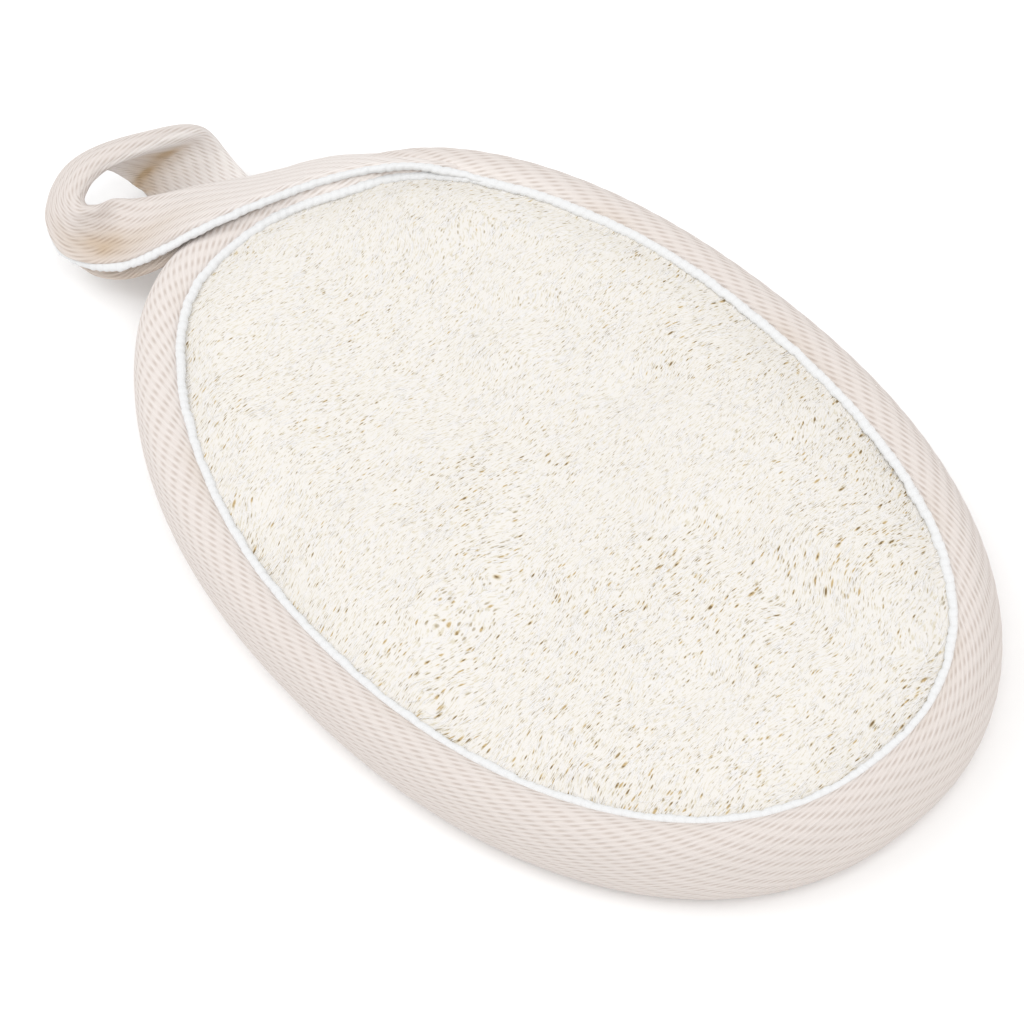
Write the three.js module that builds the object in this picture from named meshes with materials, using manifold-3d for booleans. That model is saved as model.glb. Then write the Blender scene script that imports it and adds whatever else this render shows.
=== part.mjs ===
// An oval loofah scrub pad with a twill edge tape and a hanging loop.
// Millimetres, +Z up. X runs along the pad with the loop at -X, and Z = 0 is the surface it lies on.

import * as THREE from 'three';
import { mergeVertices } from 'three/addons/utils/BufferGeometryUtils.js';
import Module from 'manifold-3d';

const wasm = await Module();
wasm.setup();

// The pad's outline: a superellipse, a little egg-shaped
const PAD_LENGTH = 150;
const PAD_WIDTH = 93.4;
const OVAL_POWER = 2.2;
const EGG_ALONG = -0.0037;
const EGG_ACROSS = 0.0053;

// The edge is pinched in where the end of the tape lies over its start, and fuller just past it
const PINCH = { depth: 2.3, angle: 160, spread: 14 };
const FULLNESS = { depth: -1.1, angle: 204, spread: 15 };

// The tape wraps the edge in a C, and its bottom is pressed flat where the pad lies
const EDGE_HEIGHT = 15;
const EDGE_ROUNDING = 4.2;
const TAPE_THICKNESS = 1.4;
const BOTTOM_PRESS = 1.02;
const TAPE_OUTER_ANGLES = [-110, -101, -79, -55, -28, 0, 28, 55, 80, 110];
const TAPE_INNER_ANGLES = [110, 75, 35, -35, -75, -110];

// The raised stitching along the tape's inner edge
const STITCH_RADIUS = 0.8;
const STITCH_INSET = 6.1;
const STITCH_HEIGHT = 13.4;
const STITCH_SIDES = 6;
const PIECE_GAP = 0.3;

// The loofah: its crown, the part held in the tape, and the net of its fibres
const CROWN_HEIGHT = 16.6;
const CROWN_EDGE_HEIGHT = 13.2;
const CROWN_SPREAD = 5;
const BACK_EDGE_HEIGHT = 1.6;
const BACK_SPREAD = 3;
const FLAT_BELOW = 0.05;
const LOOFAH_INSET = STITCH_INSET + STITCH_RADIUS + PIECE_GAP;
const HELD_INSET = 2.4;
const HELD_BEVEL = 0.9;
const HELD_LOW = 2.9;
const CELL_WIDTH = 3.6;
const CELL_HALF_LENGTH = 3.8;
const CELL_JITTER = 0.55;
const RIDGE_HEIGHT = 0.45;
const PIT_DEPTH = 0.75;
const WAVE_HEIGHT = 0.25;
const SEED = 11;

// The folded strap that makes the loop, from its overlap on the edge to its sewn-down end
const STRAP_THICKNESS = 3.0;
const STRAP_STEPS = 60;
const STRAP_STITCH_OFFSET = STITCH_RADIUS + PIECE_GAP;
const STITCH_FACE_INSET = 0.3;
const STITCH_TURN_START = 0.62;
const STITCH_TURN_END = 0.72;
const CLIMB_RADIUS = 0.5;

// Round the edge
const EDGE_STATIONS = 80;

const TURN = Math.PI * 2;
const DEGREE = Math.PI / 180;

// A point of the plain oval at an angle, before the pinch
function ovalPoint(angle) {
  const cosine = Math.cos(angle);
  const sine = Math.sin(angle);
  const sum = Math.abs(cosine) ** OVAL_POWER + Math.abs(sine) ** OVAL_POWER;
  const egg = 1 + EGG_ALONG * Math.cos(3 * angle) + EGG_ACROSS * Math.sin(3 * angle);
  const radius = egg * sum ** (-1 / OVAL_POWER);
  return new THREE.Vector2(PAD_LENGTH / 2 * cosine * radius, PAD_WIDTH / 2 * sine * radius);
}

// The outward normal of a closed outline at an angle, from two near points
function outwardNormal(outline, angle) {
  const step = 0.01;
  const along = outline(angle + step).sub(outline(angle - step)).normalize();
  return new THREE.Vector2(along.y, -along.x);
}

// A point of the pad's edge, with the pinch under the tape's overlap and the fuller stretch past it
function edgePoint(angle) {
  const degrees = THREE.MathUtils.euclideanModulo(angle / DEGREE, 360);
  const dent = ({ depth, angle: middle, spread }) => (
    depth * Math.exp(-(((degrees - middle) / spread) ** 2)));
  return ovalPoint(angle).addScaledVector(outwardNormal(ovalPoint, angle), -dent(PINCH) - dent(FULLNESS));
}

// A point a given way in from an outline, at a height
function insetPoint(outline, angle, inset, height) {
  const flat = outline(angle).addScaledVector(outwardNormal(outline, angle), -inset);
  return new THREE.Vector3(flat.x, flat.y, height);
}

// A solid from a mesh's points and triangles, turned right side out if its faces point inwards
function makeSolid(points, triangles) {
  const geometry = new THREE.BufferGeometry().setFromPoints(points);
  geometry.setIndex(triangles.flat());
  const merged = mergeVertices(geometry, 1e-4);
  const solidFrom = (corners) => new wasm.Manifold(new wasm.Mesh({
    numProp: 3,
    vertProperties: Float32Array.from(merged.attributes.position.array),
    triVerts: Uint32Array.from(corners),
  }));
  const solid = solidFrom(merged.index.array);
  return solid.volume() > 0 ? solid : solidFrom(Array.from(merged.index.array).reverse());
}

// A named mesh from a solid
function makeMesh(name, solid, material) {
  const { vertProperties, triVerts } = solid.getMesh();
  const geometry = new THREE.BufferGeometry();
  geometry.setAttribute('position', new THREE.BufferAttribute(vertProperties, 3));
  geometry.setIndex(new THREE.BufferAttribute(triVerts, 1));
  geometry.computeVertexNormals();
  const mesh = new THREE.Mesh(geometry, material);
  mesh.name = name;
  return mesh;
}

// The triangles between rows of points. Each row is a closed loop, and the rows are joined in order.
function joinRows(rows, closed) {
  const size = rows[0].length;
  const triangles = [];
  const last = closed ? rows.length : rows.length - 1;
  for (let row = 0; row < last; row += 1) {
    const next = (row + 1) % rows.length;
    for (let column = 0; column < size; column += 1) {
      const after = (column + 1) % size;
      const a = row * size + column;
      const b = row * size + after;
      const c = next * size + after;
      const d = next * size + column;
      triangles.push([a, b, c], [a, c, d]);
    }
  }
  return triangles;
}

// A closed solid from rows of points, with a fan over the first and last row
function loftSolid(rows) {
  const size = rows[0].length;
  const points = rows.flat();
  const triangles = joinRows(rows, false);
  const ends = [[rows[0], 0, false], [rows[rows.length - 1], (rows.length - 1) * size, true]];
  for (const [row, first, forwards] of ends) {
    const centre = points.length;
    points.push(row.reduce((sum, p) => sum.add(p), new THREE.Vector3()).divideScalar(size));
    for (let column = 0; column < size; column += 1) {
      const a = first + column;
      const b = first + (column + 1) % size;
      triangles.push(forwards ? [a, b, centre] : [b, a, centre]);
    }
  }
  return makeSolid(points, triangles);
}

// The station angles round the edge
function stationAngles() {
  return Array.from({ length: EDGE_STATIONS }, (_, station) => station / EDGE_STATIONS * TURN);
}

// A closed ring that carries a section of [inset, height] points round the pad's edge
function ringSolid(section) {
  const rows = stationAngles().map((angle) => section.map(([inset, height]) => (
    insetPoint(edgePoint, angle, inset, height))));
  return makeSolid(rows.flat(), joinRows(rows, true));
}

// A point of the tape's section: an ellipse round the edge, moved in along its normal by a depth
function tapeSectionPoint(degrees, depth) {
  const angle = degrees * DEGREE;
  const half = EDGE_HEIGHT / 2;
  const press = angle < 0 ? BOTTOM_PRESS : 1;
  const normal = new THREE.Vector2(half * Math.cos(angle), -EDGE_ROUNDING * Math.sin(angle)).normalize();
  const inset = EDGE_ROUNDING * (1 - Math.cos(angle)) + depth * normal.x;
  const height = half * (1 + press * Math.sin(angle)) + depth * normal.y;
  return [inset, Math.max(height, 0)];
}

// The tape round the edge: a C section, open towards the middle of the pad
function tapeRing() {
  const outer = TAPE_OUTER_ANGLES.map((degrees) => tapeSectionPoint(degrees, 0));
  const inner = TAPE_INNER_ANGLES.map((degrees) => tapeSectionPoint(degrees, TAPE_THICKNESS));
  return ringSolid([...outer, ...inner]);
}

// The strap's route: along the edge over the tape's start, off the pad, over, and back to the
// pad's end. Each stop gives a point of the folded edge, a point of the stitched edge, how far the
// strap bulges outwards between them, and how far its under layer gapes at the stitched edge.
function strapStops() {
  const onEdge = (degrees, inset, height) => insetPoint(ovalPoint, degrees * DEGREE, inset, height);
  const at = (x, y, z) => new THREE.Vector3(x, y, z);
  return [
    [onEdge(130, 1, 8), onEdge(130, 5.2, 14.2), 1, 0],
    [onEdge(140, 0.8, 8.5), onEdge(140, 6.4, 15.7), 1, 0],
    [onEdge(150, 0.6, 8.5), onEdge(150, 7.1, 16), 0.9, 0],
    [at(-73, 18, 8), at(-66, 12.5, 16.1), 0.6, 0],
    [at(-77.5, 8, 9), at(-68.5, 2.5, 16.2), 0.4, 0.5],
    [at(-81.5, -2.5, 12), at(-71.5, -8.5, 16), 0.4, 2.6],
    [at(-85, -10.5, 14), at(-76, -17, 12), -0.8, 4],
    [at(-86.5, -13.5, 15.5), at(-80, -20, 9.5), -1.4, 4.2],
    [at(-86.5, -16.5, 16.5), at(-84.5, -22.5, 8), -1.2, 2.8],
    [at(-87.5, -18, 17), at(-89.5, -23, 8.5), -0.4, 0.8],
    [at(-89, -17.5, 17.5), at(-94, -21.5, 10.5), 0.4, 0],
    [at(-90, -15.5, 18), at(-97, -18.5, 11.5), 0.8, 0],
    [at(-91, -12, 18), at(-99, -14, 12), 1, 0],
    [at(-90.5, -5, 17.6), at(-99.5, -8, 9.5), 1, 0],
    [at(-91, 3, 14.6), at(-98.3, -6, 6.2), 0.8, 0],
    [at(-91.5, 6.8, 11.5), at(-97.4, -5.6, 4.8), 0.6, 0],
    [at(-91.5, 8.3, 8.3), at(-95.8, -5.6, 4.4), 0.2, 0],
    [at(-90.5, 8.8, 5.8), at(-93.2, -5.6, 4.4), 0, 0],
    [at(-87.5, 8.6, 4.8), at(-89.7, -6, 4.3), 0, 0],
    [at(-81, 8, 4.3), at(-82, -6.5, 4.2), 0, 0],
    [at(-73.8, 6.5, 4.2), at(-73.8, -7, 4.2), 0, 0],
  ];
}

// The strap's frames along its route: its two edges, its bulge and gape, and where its outer face looks
function strapFrames() {
  const stops = strapStops();
  const folded = new THREE.CatmullRomCurve3(stops.map((stop) => stop[0]));
  const stitched = new THREE.CatmullRomCurve3(stops.map((stop) => stop[1]));
  const shape = new THREE.CatmullRomCurve3(stops.map((stop) => new THREE.Vector3(stop[2], stop[3], 0)));
  shape.curveType = 'catmullrom';
  return Array.from({ length: STRAP_STEPS + 1 }, (_, step) => {
    const t = step / STRAP_STEPS;
    const fold = folded.getPoint(t);
    const stitch = stitched.getPoint(t);
    const along = folded.getTangent(t).add(stitched.getTangent(t)).normalize();
    const across = stitch.clone().sub(fold).normalize();
    const outward = along.clone().cross(across).normalize();
    const { x: bulge, y: gape } = shape.getPoint(t);
    return { t, fold, stitch, across, outward, bulge, gape };
  });
}

// One section of the folded strap: a rounded fold, an outer layer, a notch, and an under layer that may gape
function strapSection(frame) {
  const width = frame.fold.distanceTo(frame.stitch) - STRAP_STITCH_OFFSET;
  const grown = THREE.MathUtils.smoothstep(frame.t, 0, 0.2);
  const half = STRAP_THICKNESS / 2 * THREE.MathUtils.lerp(0.5, 1, grown);
  const outer = [[0, 0], [0.06, 0.8], [0.25, 1], [0.5, 1], [0.75, 1], [1, 1]];
  const under = outer.slice(1).reverse().map(([part, side]) => [part, -side]);
  return [...outer, [0.86, 0], ...under].map(([part, side]) => {
    const opened = side < 0 ? frame.gape * part ** 2 : 0;
    return frame.fold.clone()
      .addScaledVector(frame.across, part * width)
      .addScaledVector(frame.outward, side * half + frame.bulge * 4 * part * (1 - part) - opened);
  });
}

// A closed solid over the whole oval from [inset, height] points, listed from its bottom to its top
function ovalSolid(profile) {
  return loftSolid(profile.map(([inset, height]) => (
    stationAngles().map((angle) => insetPoint(edgePoint, angle, inset, height)))));
}

// The room inside the tape that the strap stays out of: the loofah's and the stitching's
function roomInTape() {
  const wallMiddle = TAPE_THICKNESS / 2;
  const clearance = STITCH_RADIUS + 1.2 * PIECE_GAP;
  return ovalSolid([
    [HELD_INSET, HELD_LOW],
    ...[-30, 0, 35, 60, 85, 110].map((degrees) => tapeSectionPoint(degrees, wallMiddle)),
    [STITCH_INSET - 0.5 * clearance, STITCH_HEIGHT + clearance],
    [STITCH_INSET + clearance, STITCH_HEIGHT + clearance],
  ]);
}

// The folded strap, from under the overlap to the pad's end
function strapSolid() {
  return loftSolid(strapFrames().map(strapSection)).subtract(roomInTape());
}

// A place round the strap's open edge at the stitching's distance, as [across, outward] from the
// place straight off the edge: 0 is that place, and 1 lies on the outer face.
function roundOpenEdge(part) {
  const half = STRAP_THICKNESS / 2;
  const corner = STRAP_STITCH_OFFSET * Math.PI / 2;
  const way = part * (half + corner + STITCH_FACE_INSET);
  const turned = THREE.MathUtils.clamp((way - half) / STRAP_STITCH_OFFSET, 0, Math.PI / 2);
  const past = Math.max(way - half - corner, 0);
  return [
    STRAP_STITCH_OFFSET * (Math.cos(turned) - 1) - past,
    Math.min(way, half) + STRAP_STITCH_OFFSET * Math.sin(turned),
  ];
}

// One section of the stitching that runs on along the strap's open edge
function strapStitchSection({ stitch, across, outward, radius }) {
  return Array.from({ length: STITCH_SIDES }, (_, side) => {
    const angle = side / STITCH_SIDES * TURN;
    return stitch.clone()
      .addScaledVector(across, radius * Math.cos(angle))
      .addScaledVector(outward, radius * Math.sin(angle));
  });
}

// The stitching that leaves the ring's stitching, climbs over the tape's start and follows the strap
function strapStitching() {
  const climb = [[125, 6.1, 13.4], [129, 6.5, 13.9], [133, 6.65, 14.7], [137, 6.55, 15.4]];
  const lead = climb.map(([degrees, inset, height]) => {
    const onEdge = (way) => insetPoint(edgePoint, degrees * DEGREE, way, height);
    return {
      stitch: onEdge(inset),
      across: onEdge(1).sub(onEdge(0)),
      outward: new THREE.Vector3(0, 0, 1),
      radius: CLIMB_RADIUS,
    };
  });
  const run = strapFrames().filter((frame) => frame.t > 0.05 && frame.t < 0.95).map((frame) => {
    const turned = THREE.MathUtils.smoothstep(frame.t, STITCH_TURN_START, STITCH_TURN_END);
    const [across, outward] = roundOpenEdge(turned);
    const stitch = frame.stitch.clone()
      .addScaledVector(frame.across, across)
      .addScaledVector(frame.outward, outward);
    return { ...frame, stitch, radius: STITCH_RADIUS };
  });
  return loftSolid([...lead, ...run].map(strapStitchSection));
}

// A ring of stitching at a height, along the tape's inner edge
function stitchRing(height) {
  const section = Array.from({ length: STITCH_SIDES }, (_, side) => {
    const angle = side / STITCH_SIDES * TURN;
    return [STITCH_INSET - STITCH_RADIUS * Math.cos(angle), height + STITCH_RADIUS * Math.sin(angle)];
  });
  return ringSolid(section);
}

// The way in from the pad's edge to a point, negative outside
function makeInsetFinder() {
  const edge = stationAngles().map(edgePoint);
  const toEdge = new THREE.Vector2();
  return (x, y) => {
    let nearest = Infinity;
    let inside = false;
    edge.forEach((a, index) => {
      const b = edge[(index + 1) % edge.length];
      const spanX = b.x - a.x;
      const spanY = b.y - a.y;
      const part = ((x - a.x) * spanX + (y - a.y) * spanY) / (spanX ** 2 + spanY ** 2);
      const held = THREE.MathUtils.clamp(part, 0, 1);
      nearest = Math.min(nearest, toEdge.set(a.x + held * spanX - x, a.y + held * spanY - y).length());
      if ((a.y > y) !== (b.y > y) && x < a.x + (y - a.y) / spanY * spanX) {
        inside = !inside;
      }
    });
    return inside ? nearest : -nearest;
  };
}

// A seeded number from 0 to 1 for a knot of the net
function draw(column, row, kind) {
  const value = Math.sin(column * 12.9898 + row * 78.233 + kind * 37.719 + SEED) * 43758.5453;
  return value - Math.floor(value);
}

// The six knots round a cell of the net, in half-cell steps, counted anticlockwise from the right
const CELL_KNOTS = [[1, -1], [1, 1], [0, 2], [-1, 1], [-1, -1], [0, -2]];

// The front and back points of one spot of the net: a raised knot, or the sunken middle of a cell.
// The knot at the origin is flat on its back, and the loofah rests there.
function netPoints(column, row, isPit, insetAt) {
  const x = column * CELL_WIDTH / 2 + (draw(column, row, 1) - 0.5) * CELL_JITTER * CELL_WIDTH;
  const y = row * CELL_HALF_LENGTH / 2 + (draw(column, row, 2) - 0.5) * CELL_JITTER * CELL_HALF_LENGTH;
  const inset = Math.max(insetAt(x, y) - LOOFAH_INSET, 0);
  const crown = THREE.MathUtils.lerp(CROWN_HEIGHT, CROWN_EDGE_HEIGHT, Math.exp(-inset / CROWN_SPREAD));
  const wave = WAVE_HEIGHT * Math.sin(x / 9 + 2 * Math.sin(y / 13)) * Math.cos(y / 8 + x / 21);
  const lift = RIDGE_HEIGHT * (0.4 + draw(column, row, 4));
  const sink = PIT_DEPTH * (0.3 + 1.2 * draw(column, row, 3));
  const back = BACK_EDGE_HEIGHT * Math.exp(-inset / BACK_SPREAD);
  const backSink = isPit && (column !== 0 || row !== 0) ? PIT_DEPTH * (0.6 + 1.2 * draw(column, row, 5)) : 0;
  return [
    new THREE.Vector3(x, y, crown + wave + (isPit ? -sink : lift)),
    new THREE.Vector3(x, y, (back < FLAT_BELOW ? 0 : back) + backSink),
  ];
}

// The cells of the net that lie over the pad, each as the columns and rows of its middle and six knots
function netCells(insetAt) {
  const rows = Math.ceil(PAD_WIDTH / 3 / CELL_HALF_LENGTH) + 1;
  const columns = Math.ceil(PAD_LENGTH / 2 / CELL_WIDTH) + 1;
  const cells = [];
  for (let row = -rows; row <= rows; row += 1) {
    for (let column = -columns; column <= columns; column += 1) {
      const middle = [column * 2 + Math.abs(row % 2), row * 3];
      if (insetAt(middle[0] * CELL_WIDTH / 2, middle[1] * CELL_HALF_LENGTH / 2) > -CELL_HALF_LENGTH) {
        cells.push([middle, ...CELL_KNOTS.map(([dx, dy]) => [middle[0] + dx, middle[1] + dy])]);
      }
    }
  }
  return cells;
}

// The slab of pressed loofah: a net of long cells whose knots and ridges stand up round sunken pits
function loofahSlab() {
  const insetAt = makeInsetFinder();
  const points = [];
  const triangles = [];
  const numbers = new Map();
  const edges = new Map();
  const numberOf = ([column, row], isPit) => {
    const key = `${column},${row}`;
    if (!numbers.has(key)) {
      numbers.set(key, points.length);
      points.push(...netPoints(column, row, isPit, insetAt));
    }
    return numbers.get(key);
  };
  for (const [centre, ...knots] of netCells(insetAt)) {
    const middle = numberOf(centre, true);
    const ring = knots.map((knot) => numberOf(knot, false));
    ring.forEach((a, index) => {
      const b = ring[(index + 1) % ring.length];
      triangles.push([middle, a, b], [middle + 1, b + 1, a + 1]);
      edges.set(`${a},${b}`, [a, b]);
    });
  }

  // The wall between front and back along the edges that only one cell has
  for (const [a, b] of edges.values()) {
    if (!edges.has(`${b},${a}`)) {
      triangles.push([b, a, a + 1], [b, a + 1, b + 1]);
    }
  }
  return makeSolid(points, triangles);
}

// The space that the loofah fills: held in the tape at its edge, and free inside the stitching
function loofahRoom() {
  const high = EDGE_HEIGHT - HELD_LOW;
  const bevelLow = HELD_LOW + 2 * HELD_BEVEL;
  const bevelHigh = high - 2 * HELD_BEVEL;
  const profile = [
    [LOOFAH_INSET, -1],
    [LOOFAH_INSET, HELD_LOW],
    [HELD_INSET + HELD_BEVEL, HELD_LOW],
    [HELD_INSET, bevelLow],
    [HELD_INSET, bevelHigh],
    [HELD_INSET + HELD_BEVEL, high],
    [LOOFAH_INSET, high],
    [LOOFAH_INSET, CROWN_HEIGHT + 2],
  ];
  return ovalSolid(profile);
}

const loofahMaterial = new THREE.MeshStandardMaterial({ color: 0xefe4cc, roughness: 0.95, metalness: 0 });
const tapeMaterial = new THREE.MeshStandardMaterial({ color: 0xeee7de, roughness: 0.9, metalness: 0 });
const frontThreadMaterial = new THREE.MeshStandardMaterial({ color: 0xfaf9f6, roughness: 0.85, metalness: 0 });
const backThreadMaterial = new THREE.MeshStandardMaterial({ color: 0xfaf9f6, roughness: 0.85, metalness: 0 });

const pad = new THREE.Group();
pad.add(makeMesh('loofah_pad', loofahSlab().intersect(loofahRoom()), loofahMaterial));
pad.add(makeMesh('edge_tape', tapeRing().add(strapSolid()), tapeMaterial));
pad.add(makeMesh('stitching_front', stitchRing(STITCH_HEIGHT).add(strapStitching()), frontThreadMaterial));
pad.add(makeMesh('stitching_back', stitchRing(EDGE_HEIGHT - STITCH_HEIGHT), backThreadMaterial));

export default pad;
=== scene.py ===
"""An oval loofah scrub pad with a cotton edge tape, raised stitching and a hanging loop.

Everything is in metres in the object's own frame: X runs along the pad with the loop at -X,
and Z = 0 is the surface that the pad lies on. Lengths in the formulas below are in millimetres
and are turned into metres when a mesh is made.
"""

import logging
import math
from collections.abc import Callable
from dataclasses import dataclass, field
from enum import Enum

import bpy
import numpy as np
from mathutils import Matrix, Vector

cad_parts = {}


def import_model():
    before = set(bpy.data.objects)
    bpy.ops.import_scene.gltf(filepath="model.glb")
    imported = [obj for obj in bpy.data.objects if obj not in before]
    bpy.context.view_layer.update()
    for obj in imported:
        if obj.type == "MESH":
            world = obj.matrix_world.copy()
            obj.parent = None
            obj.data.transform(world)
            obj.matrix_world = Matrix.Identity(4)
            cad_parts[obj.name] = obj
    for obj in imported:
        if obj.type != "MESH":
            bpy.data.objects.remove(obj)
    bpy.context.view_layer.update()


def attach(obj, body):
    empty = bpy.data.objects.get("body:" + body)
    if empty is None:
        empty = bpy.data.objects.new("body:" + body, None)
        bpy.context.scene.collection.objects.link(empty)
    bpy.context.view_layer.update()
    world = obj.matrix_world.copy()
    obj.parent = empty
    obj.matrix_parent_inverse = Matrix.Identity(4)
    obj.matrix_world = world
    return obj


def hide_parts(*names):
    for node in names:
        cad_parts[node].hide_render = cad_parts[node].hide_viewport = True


LOG = logging.getLogger("loofah_pad")
MM = 0.001
TURN = 2 * math.pi
Array = np.ndarray
Outline = Callable[[Array], Array]
Socket = bpy.types.NodeSocket
Colour = tuple[float, float, float]
WHITE = (1.0, 1.0, 1.0)
BLACK = (0.0, 0.0, 0.0)


class Side(Enum):
    """The face of the pad that a mat of fibres lies on."""

    FRONT = 1
    BACK = -1


class Slot(Enum):
    """The record's material slots."""

    LOOFAH = "loofah"
    TAPE = "cotton_tape"
    THREAD = "thread"


# Mesh helpers


def smoothstep(value: Array, low: float, high: float) -> Array:
    """Rises smoothly from 0 at low to 1 at high, as 3t squared less 2t cubed.

    Args:
        value: Where the step is read.
        low: The value below which the result is 0.
        high: The value above which the result is 1.

    Returns:
        The step at each value.
    """
    part = np.clip((value - low) / (high - low), 0, 1)
    return part * part * (3 - 2 * part)


def bell(value: Array, middle: float | Array, spread: float) -> Array:
    """A bell curve: e to the minus square of (value - middle) / spread."""
    return np.exp(-((value - middle) / spread) ** 2)


def unit(vectors: Array) -> Array:
    """Scales each vector of the last axis to length one."""
    return vectors / (np.linalg.norm(vectors, axis=-1, keepdims=True) + 1e-12)


def grid_faces(rows: int, columns: int, wrap_rows: bool, wrap_columns: bool) -> Array:
    """Joins a grid of points into quads, each point with its next neighbours.

    Args:
        rows: How many rows of points there are.
        columns: How many points a row has.
        wrap_rows: Whether the last row joins the first.
        wrap_columns: Whether each row is a closed loop.

    Returns:
        Four point numbers for each quad.
    """
    row = np.arange(rows if wrap_rows else rows - 1)[:, None]
    column = np.arange(columns if wrap_columns else columns - 1)[None, :]
    next_row = (row + 1) % rows
    next_column = (column + 1) % columns
    corners = [
        row * columns + column,
        row * columns + next_column,
        next_row * columns + next_column,
        next_row * columns + column,
    ]
    return np.stack(np.broadcast_arrays(*corners), axis=-1).reshape(-1, 4)


@dataclass
class Surface:
    """Points and faces of one piece, with what its material reads."""

    points: Array
    quads: Array
    triangles: Array = field(default_factory=lambda: np.zeros((0, 3), int))
    uv: Array | None = None
    values: dict[str, Array] = field(default_factory=dict)
    uv_turn: tuple[float, float] = (0.0, 0.0)
    smooth: bool = True

    def corner_uv(self) -> Array:
        """The map's place at each face corner, carried on past the map's end where a quad spans it.

        A corner is behind the end if its first number is over half a turn less than the quad's highest.

        Returns:
            Two numbers for each corner of the quads and then of the triangles.
        """
        mapped = self.uv[self.quads]
        if any(self.uv_turn):
            first = mapped[..., 0]
            behind = first < first.max(axis=1, keepdims=True) - self.uv_turn[0] / 2
            mapped = mapped + behind[..., None] * np.array(self.uv_turn)
        return np.concatenate([mapped.reshape(-1, 2), self.uv[self.triangles].reshape(-1, 2)])

    def join(self, other: "Surface") -> "Surface":
        """Adds another surface's points, faces and values to this one's.

        Args:
            other: A surface with the same kinds of values.

        Returns:
            One surface that holds both.
        """
        shift = len(self.points)
        return Surface(
            np.concatenate([self.points, other.points]),
            np.concatenate([self.quads, other.quads + shift]),
            np.concatenate([self.triangles, other.triangles + shift]),
            None if self.uv is None else np.concatenate([self.uv, other.uv]),
            {name: np.concatenate([value, other.values[name]]) for name, value in self.values.items()},
        )

    def make(self, name: str, material: bpy.types.Material) -> bpy.types.Object:
        """Makes an object from the surface, in metres.

        Args:
            name: The object's name.
            material: Its finish.

        Returns:
            The new object, linked to the scene.
        """
        mesh = bpy.data.meshes.new(name)
        flat = np.concatenate([self.quads.ravel(), self.triangles.ravel()]).astype(np.int32)
        sizes = np.concatenate([np.full(len(self.quads), 4), np.full(len(self.triangles), 3)])
        starts = np.concatenate([[0], np.cumsum(sizes)[:-1]]).astype(np.int32)
        mesh.vertices.add(len(self.points))
        mesh.vertices.foreach_set("co", (self.points * MM).astype(np.float32).ravel())
        mesh.loops.add(len(flat))
        mesh.loops.foreach_set("vertex_index", flat)
        mesh.polygons.add(len(sizes))
        mesh.polygons.foreach_set("loop_start", starts)
        mesh.update(calc_edges=True)
        mesh.polygons.foreach_set("use_smooth", np.full(len(sizes), self.smooth))
        if self.uv is not None:
            layer = mesh.uv_layers.new(name="along_across")
            layer.data.foreach_set("uv", (self.corner_uv() * MM).astype(np.float32).ravel())
        for key, value in self.values.items():
            attribute = mesh.attributes.new(key, "FLOAT", "POINT")
            attribute.data.foreach_set("value", value.astype(np.float32))
        mesh.validate()
        mesh.materials.append(material)
        made = bpy.data.objects.new(name, mesh)
        bpy.context.scene.collection.objects.link(made)
        return made


def turned_out(surface: Surface) -> Surface:
    """Turns every face over if the closed surface's volume comes out negative.

    The volume is the sum over faces of the triple product of their corners.

    Args:
        surface: One closed surface.

    Returns:
        The surface with its faces pointing outwards.
    """
    fans = np.concatenate([surface.quads[:, [0, 1, 2]], surface.quads[:, [0, 2, 3]], surface.triangles])
    a, b, c = (surface.points[fans[:, k]] for k in range(3))
    if np.einsum("ij,ij->", a, np.cross(b, c)) < 0:
        surface.quads = surface.quads[:, ::-1]
        surface.triangles = surface.triangles[:, ::-1]
    return surface


def capped_loft(rows: Array, uv: Array | None = None, **values: Array) -> Surface:
    """Joins closed rows of points into a tube and closes each end with a fan.

    Args:
        rows: Points as rows, columns and coordinates, each row a closed loop.
        uv: A place for each point on the material's own map.
        **values: A number for each point, by name.

    Returns:
        The closed surface.
    """
    count, size = rows.shape[:2]
    middles = np.stack([rows[0].mean(0), rows[-1].mean(0)])
    points = np.concatenate([rows.reshape(-1, 3), middles])
    column = np.arange(size)
    after = (column + 1) % size
    last = (count - 1) * size
    near = np.stack([after, column, np.full(size, count * size)], axis=-1)
    far = np.stack([last + column, last + after, np.full(size, count * size + 1)], axis=-1)
    quads = grid_faces(count, size, False, True)

    def extended(grid: Array) -> Array:
        """Adds the two middles' values, each its end row's mean, to a grid's.

        Args:
            grid: One or more numbers for each point of the rows.

        Returns:
            The numbers for every point of the tube.
        """
        flat = grid.reshape(count * size, -1)
        ends = np.stack([grid[0].reshape(size, -1).mean(0), grid[-1].reshape(size, -1).mean(0)])
        return np.concatenate([flat, ends])

    mapped = None if uv is None else extended(uv)
    kept = {name: extended(value)[:, 0] for name, value in values.items()}
    return turned_out(Surface(points, quads, np.concatenate([near, far]), mapped, kept))


@dataclass
class SmoothNoise:
    """Seeded numbers on a square lattice, blended smoothly between its points."""

    seed: int
    size: int = 64

    def __post_init__(self) -> None:
        """Draws the lattice once."""
        self.lattice = np.random.default_rng(self.seed).uniform(-1, 1, (self.size, self.size))

    def corner(self, i: Array, j: Array) -> Array:
        """The lattice's numbers, which repeat past its edges."""
        return self.lattice[i % self.size, j % self.size]

    def __call__(self, x: Array, y: Array) -> Array:
        """Blends the four lattice numbers round each place with a smooth step.

        Args:
            x: Places along the lattice, in its own steps.
            y: Places across it.

        Returns:
            Values from -1 to 1.
        """
        i, j = np.floor(x).astype(int), np.floor(y).astype(int)
        u, v = smoothstep(x - i, 0, 1), smoothstep(y - j, 0, 1)
        low = self.corner(i, j) * (1 - u) + self.corner(i + 1, j) * u
        high = self.corner(i, j + 1) * (1 - u) + self.corner(i + 1, j + 1) * u
        return low * (1 - v) + high * v


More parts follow.
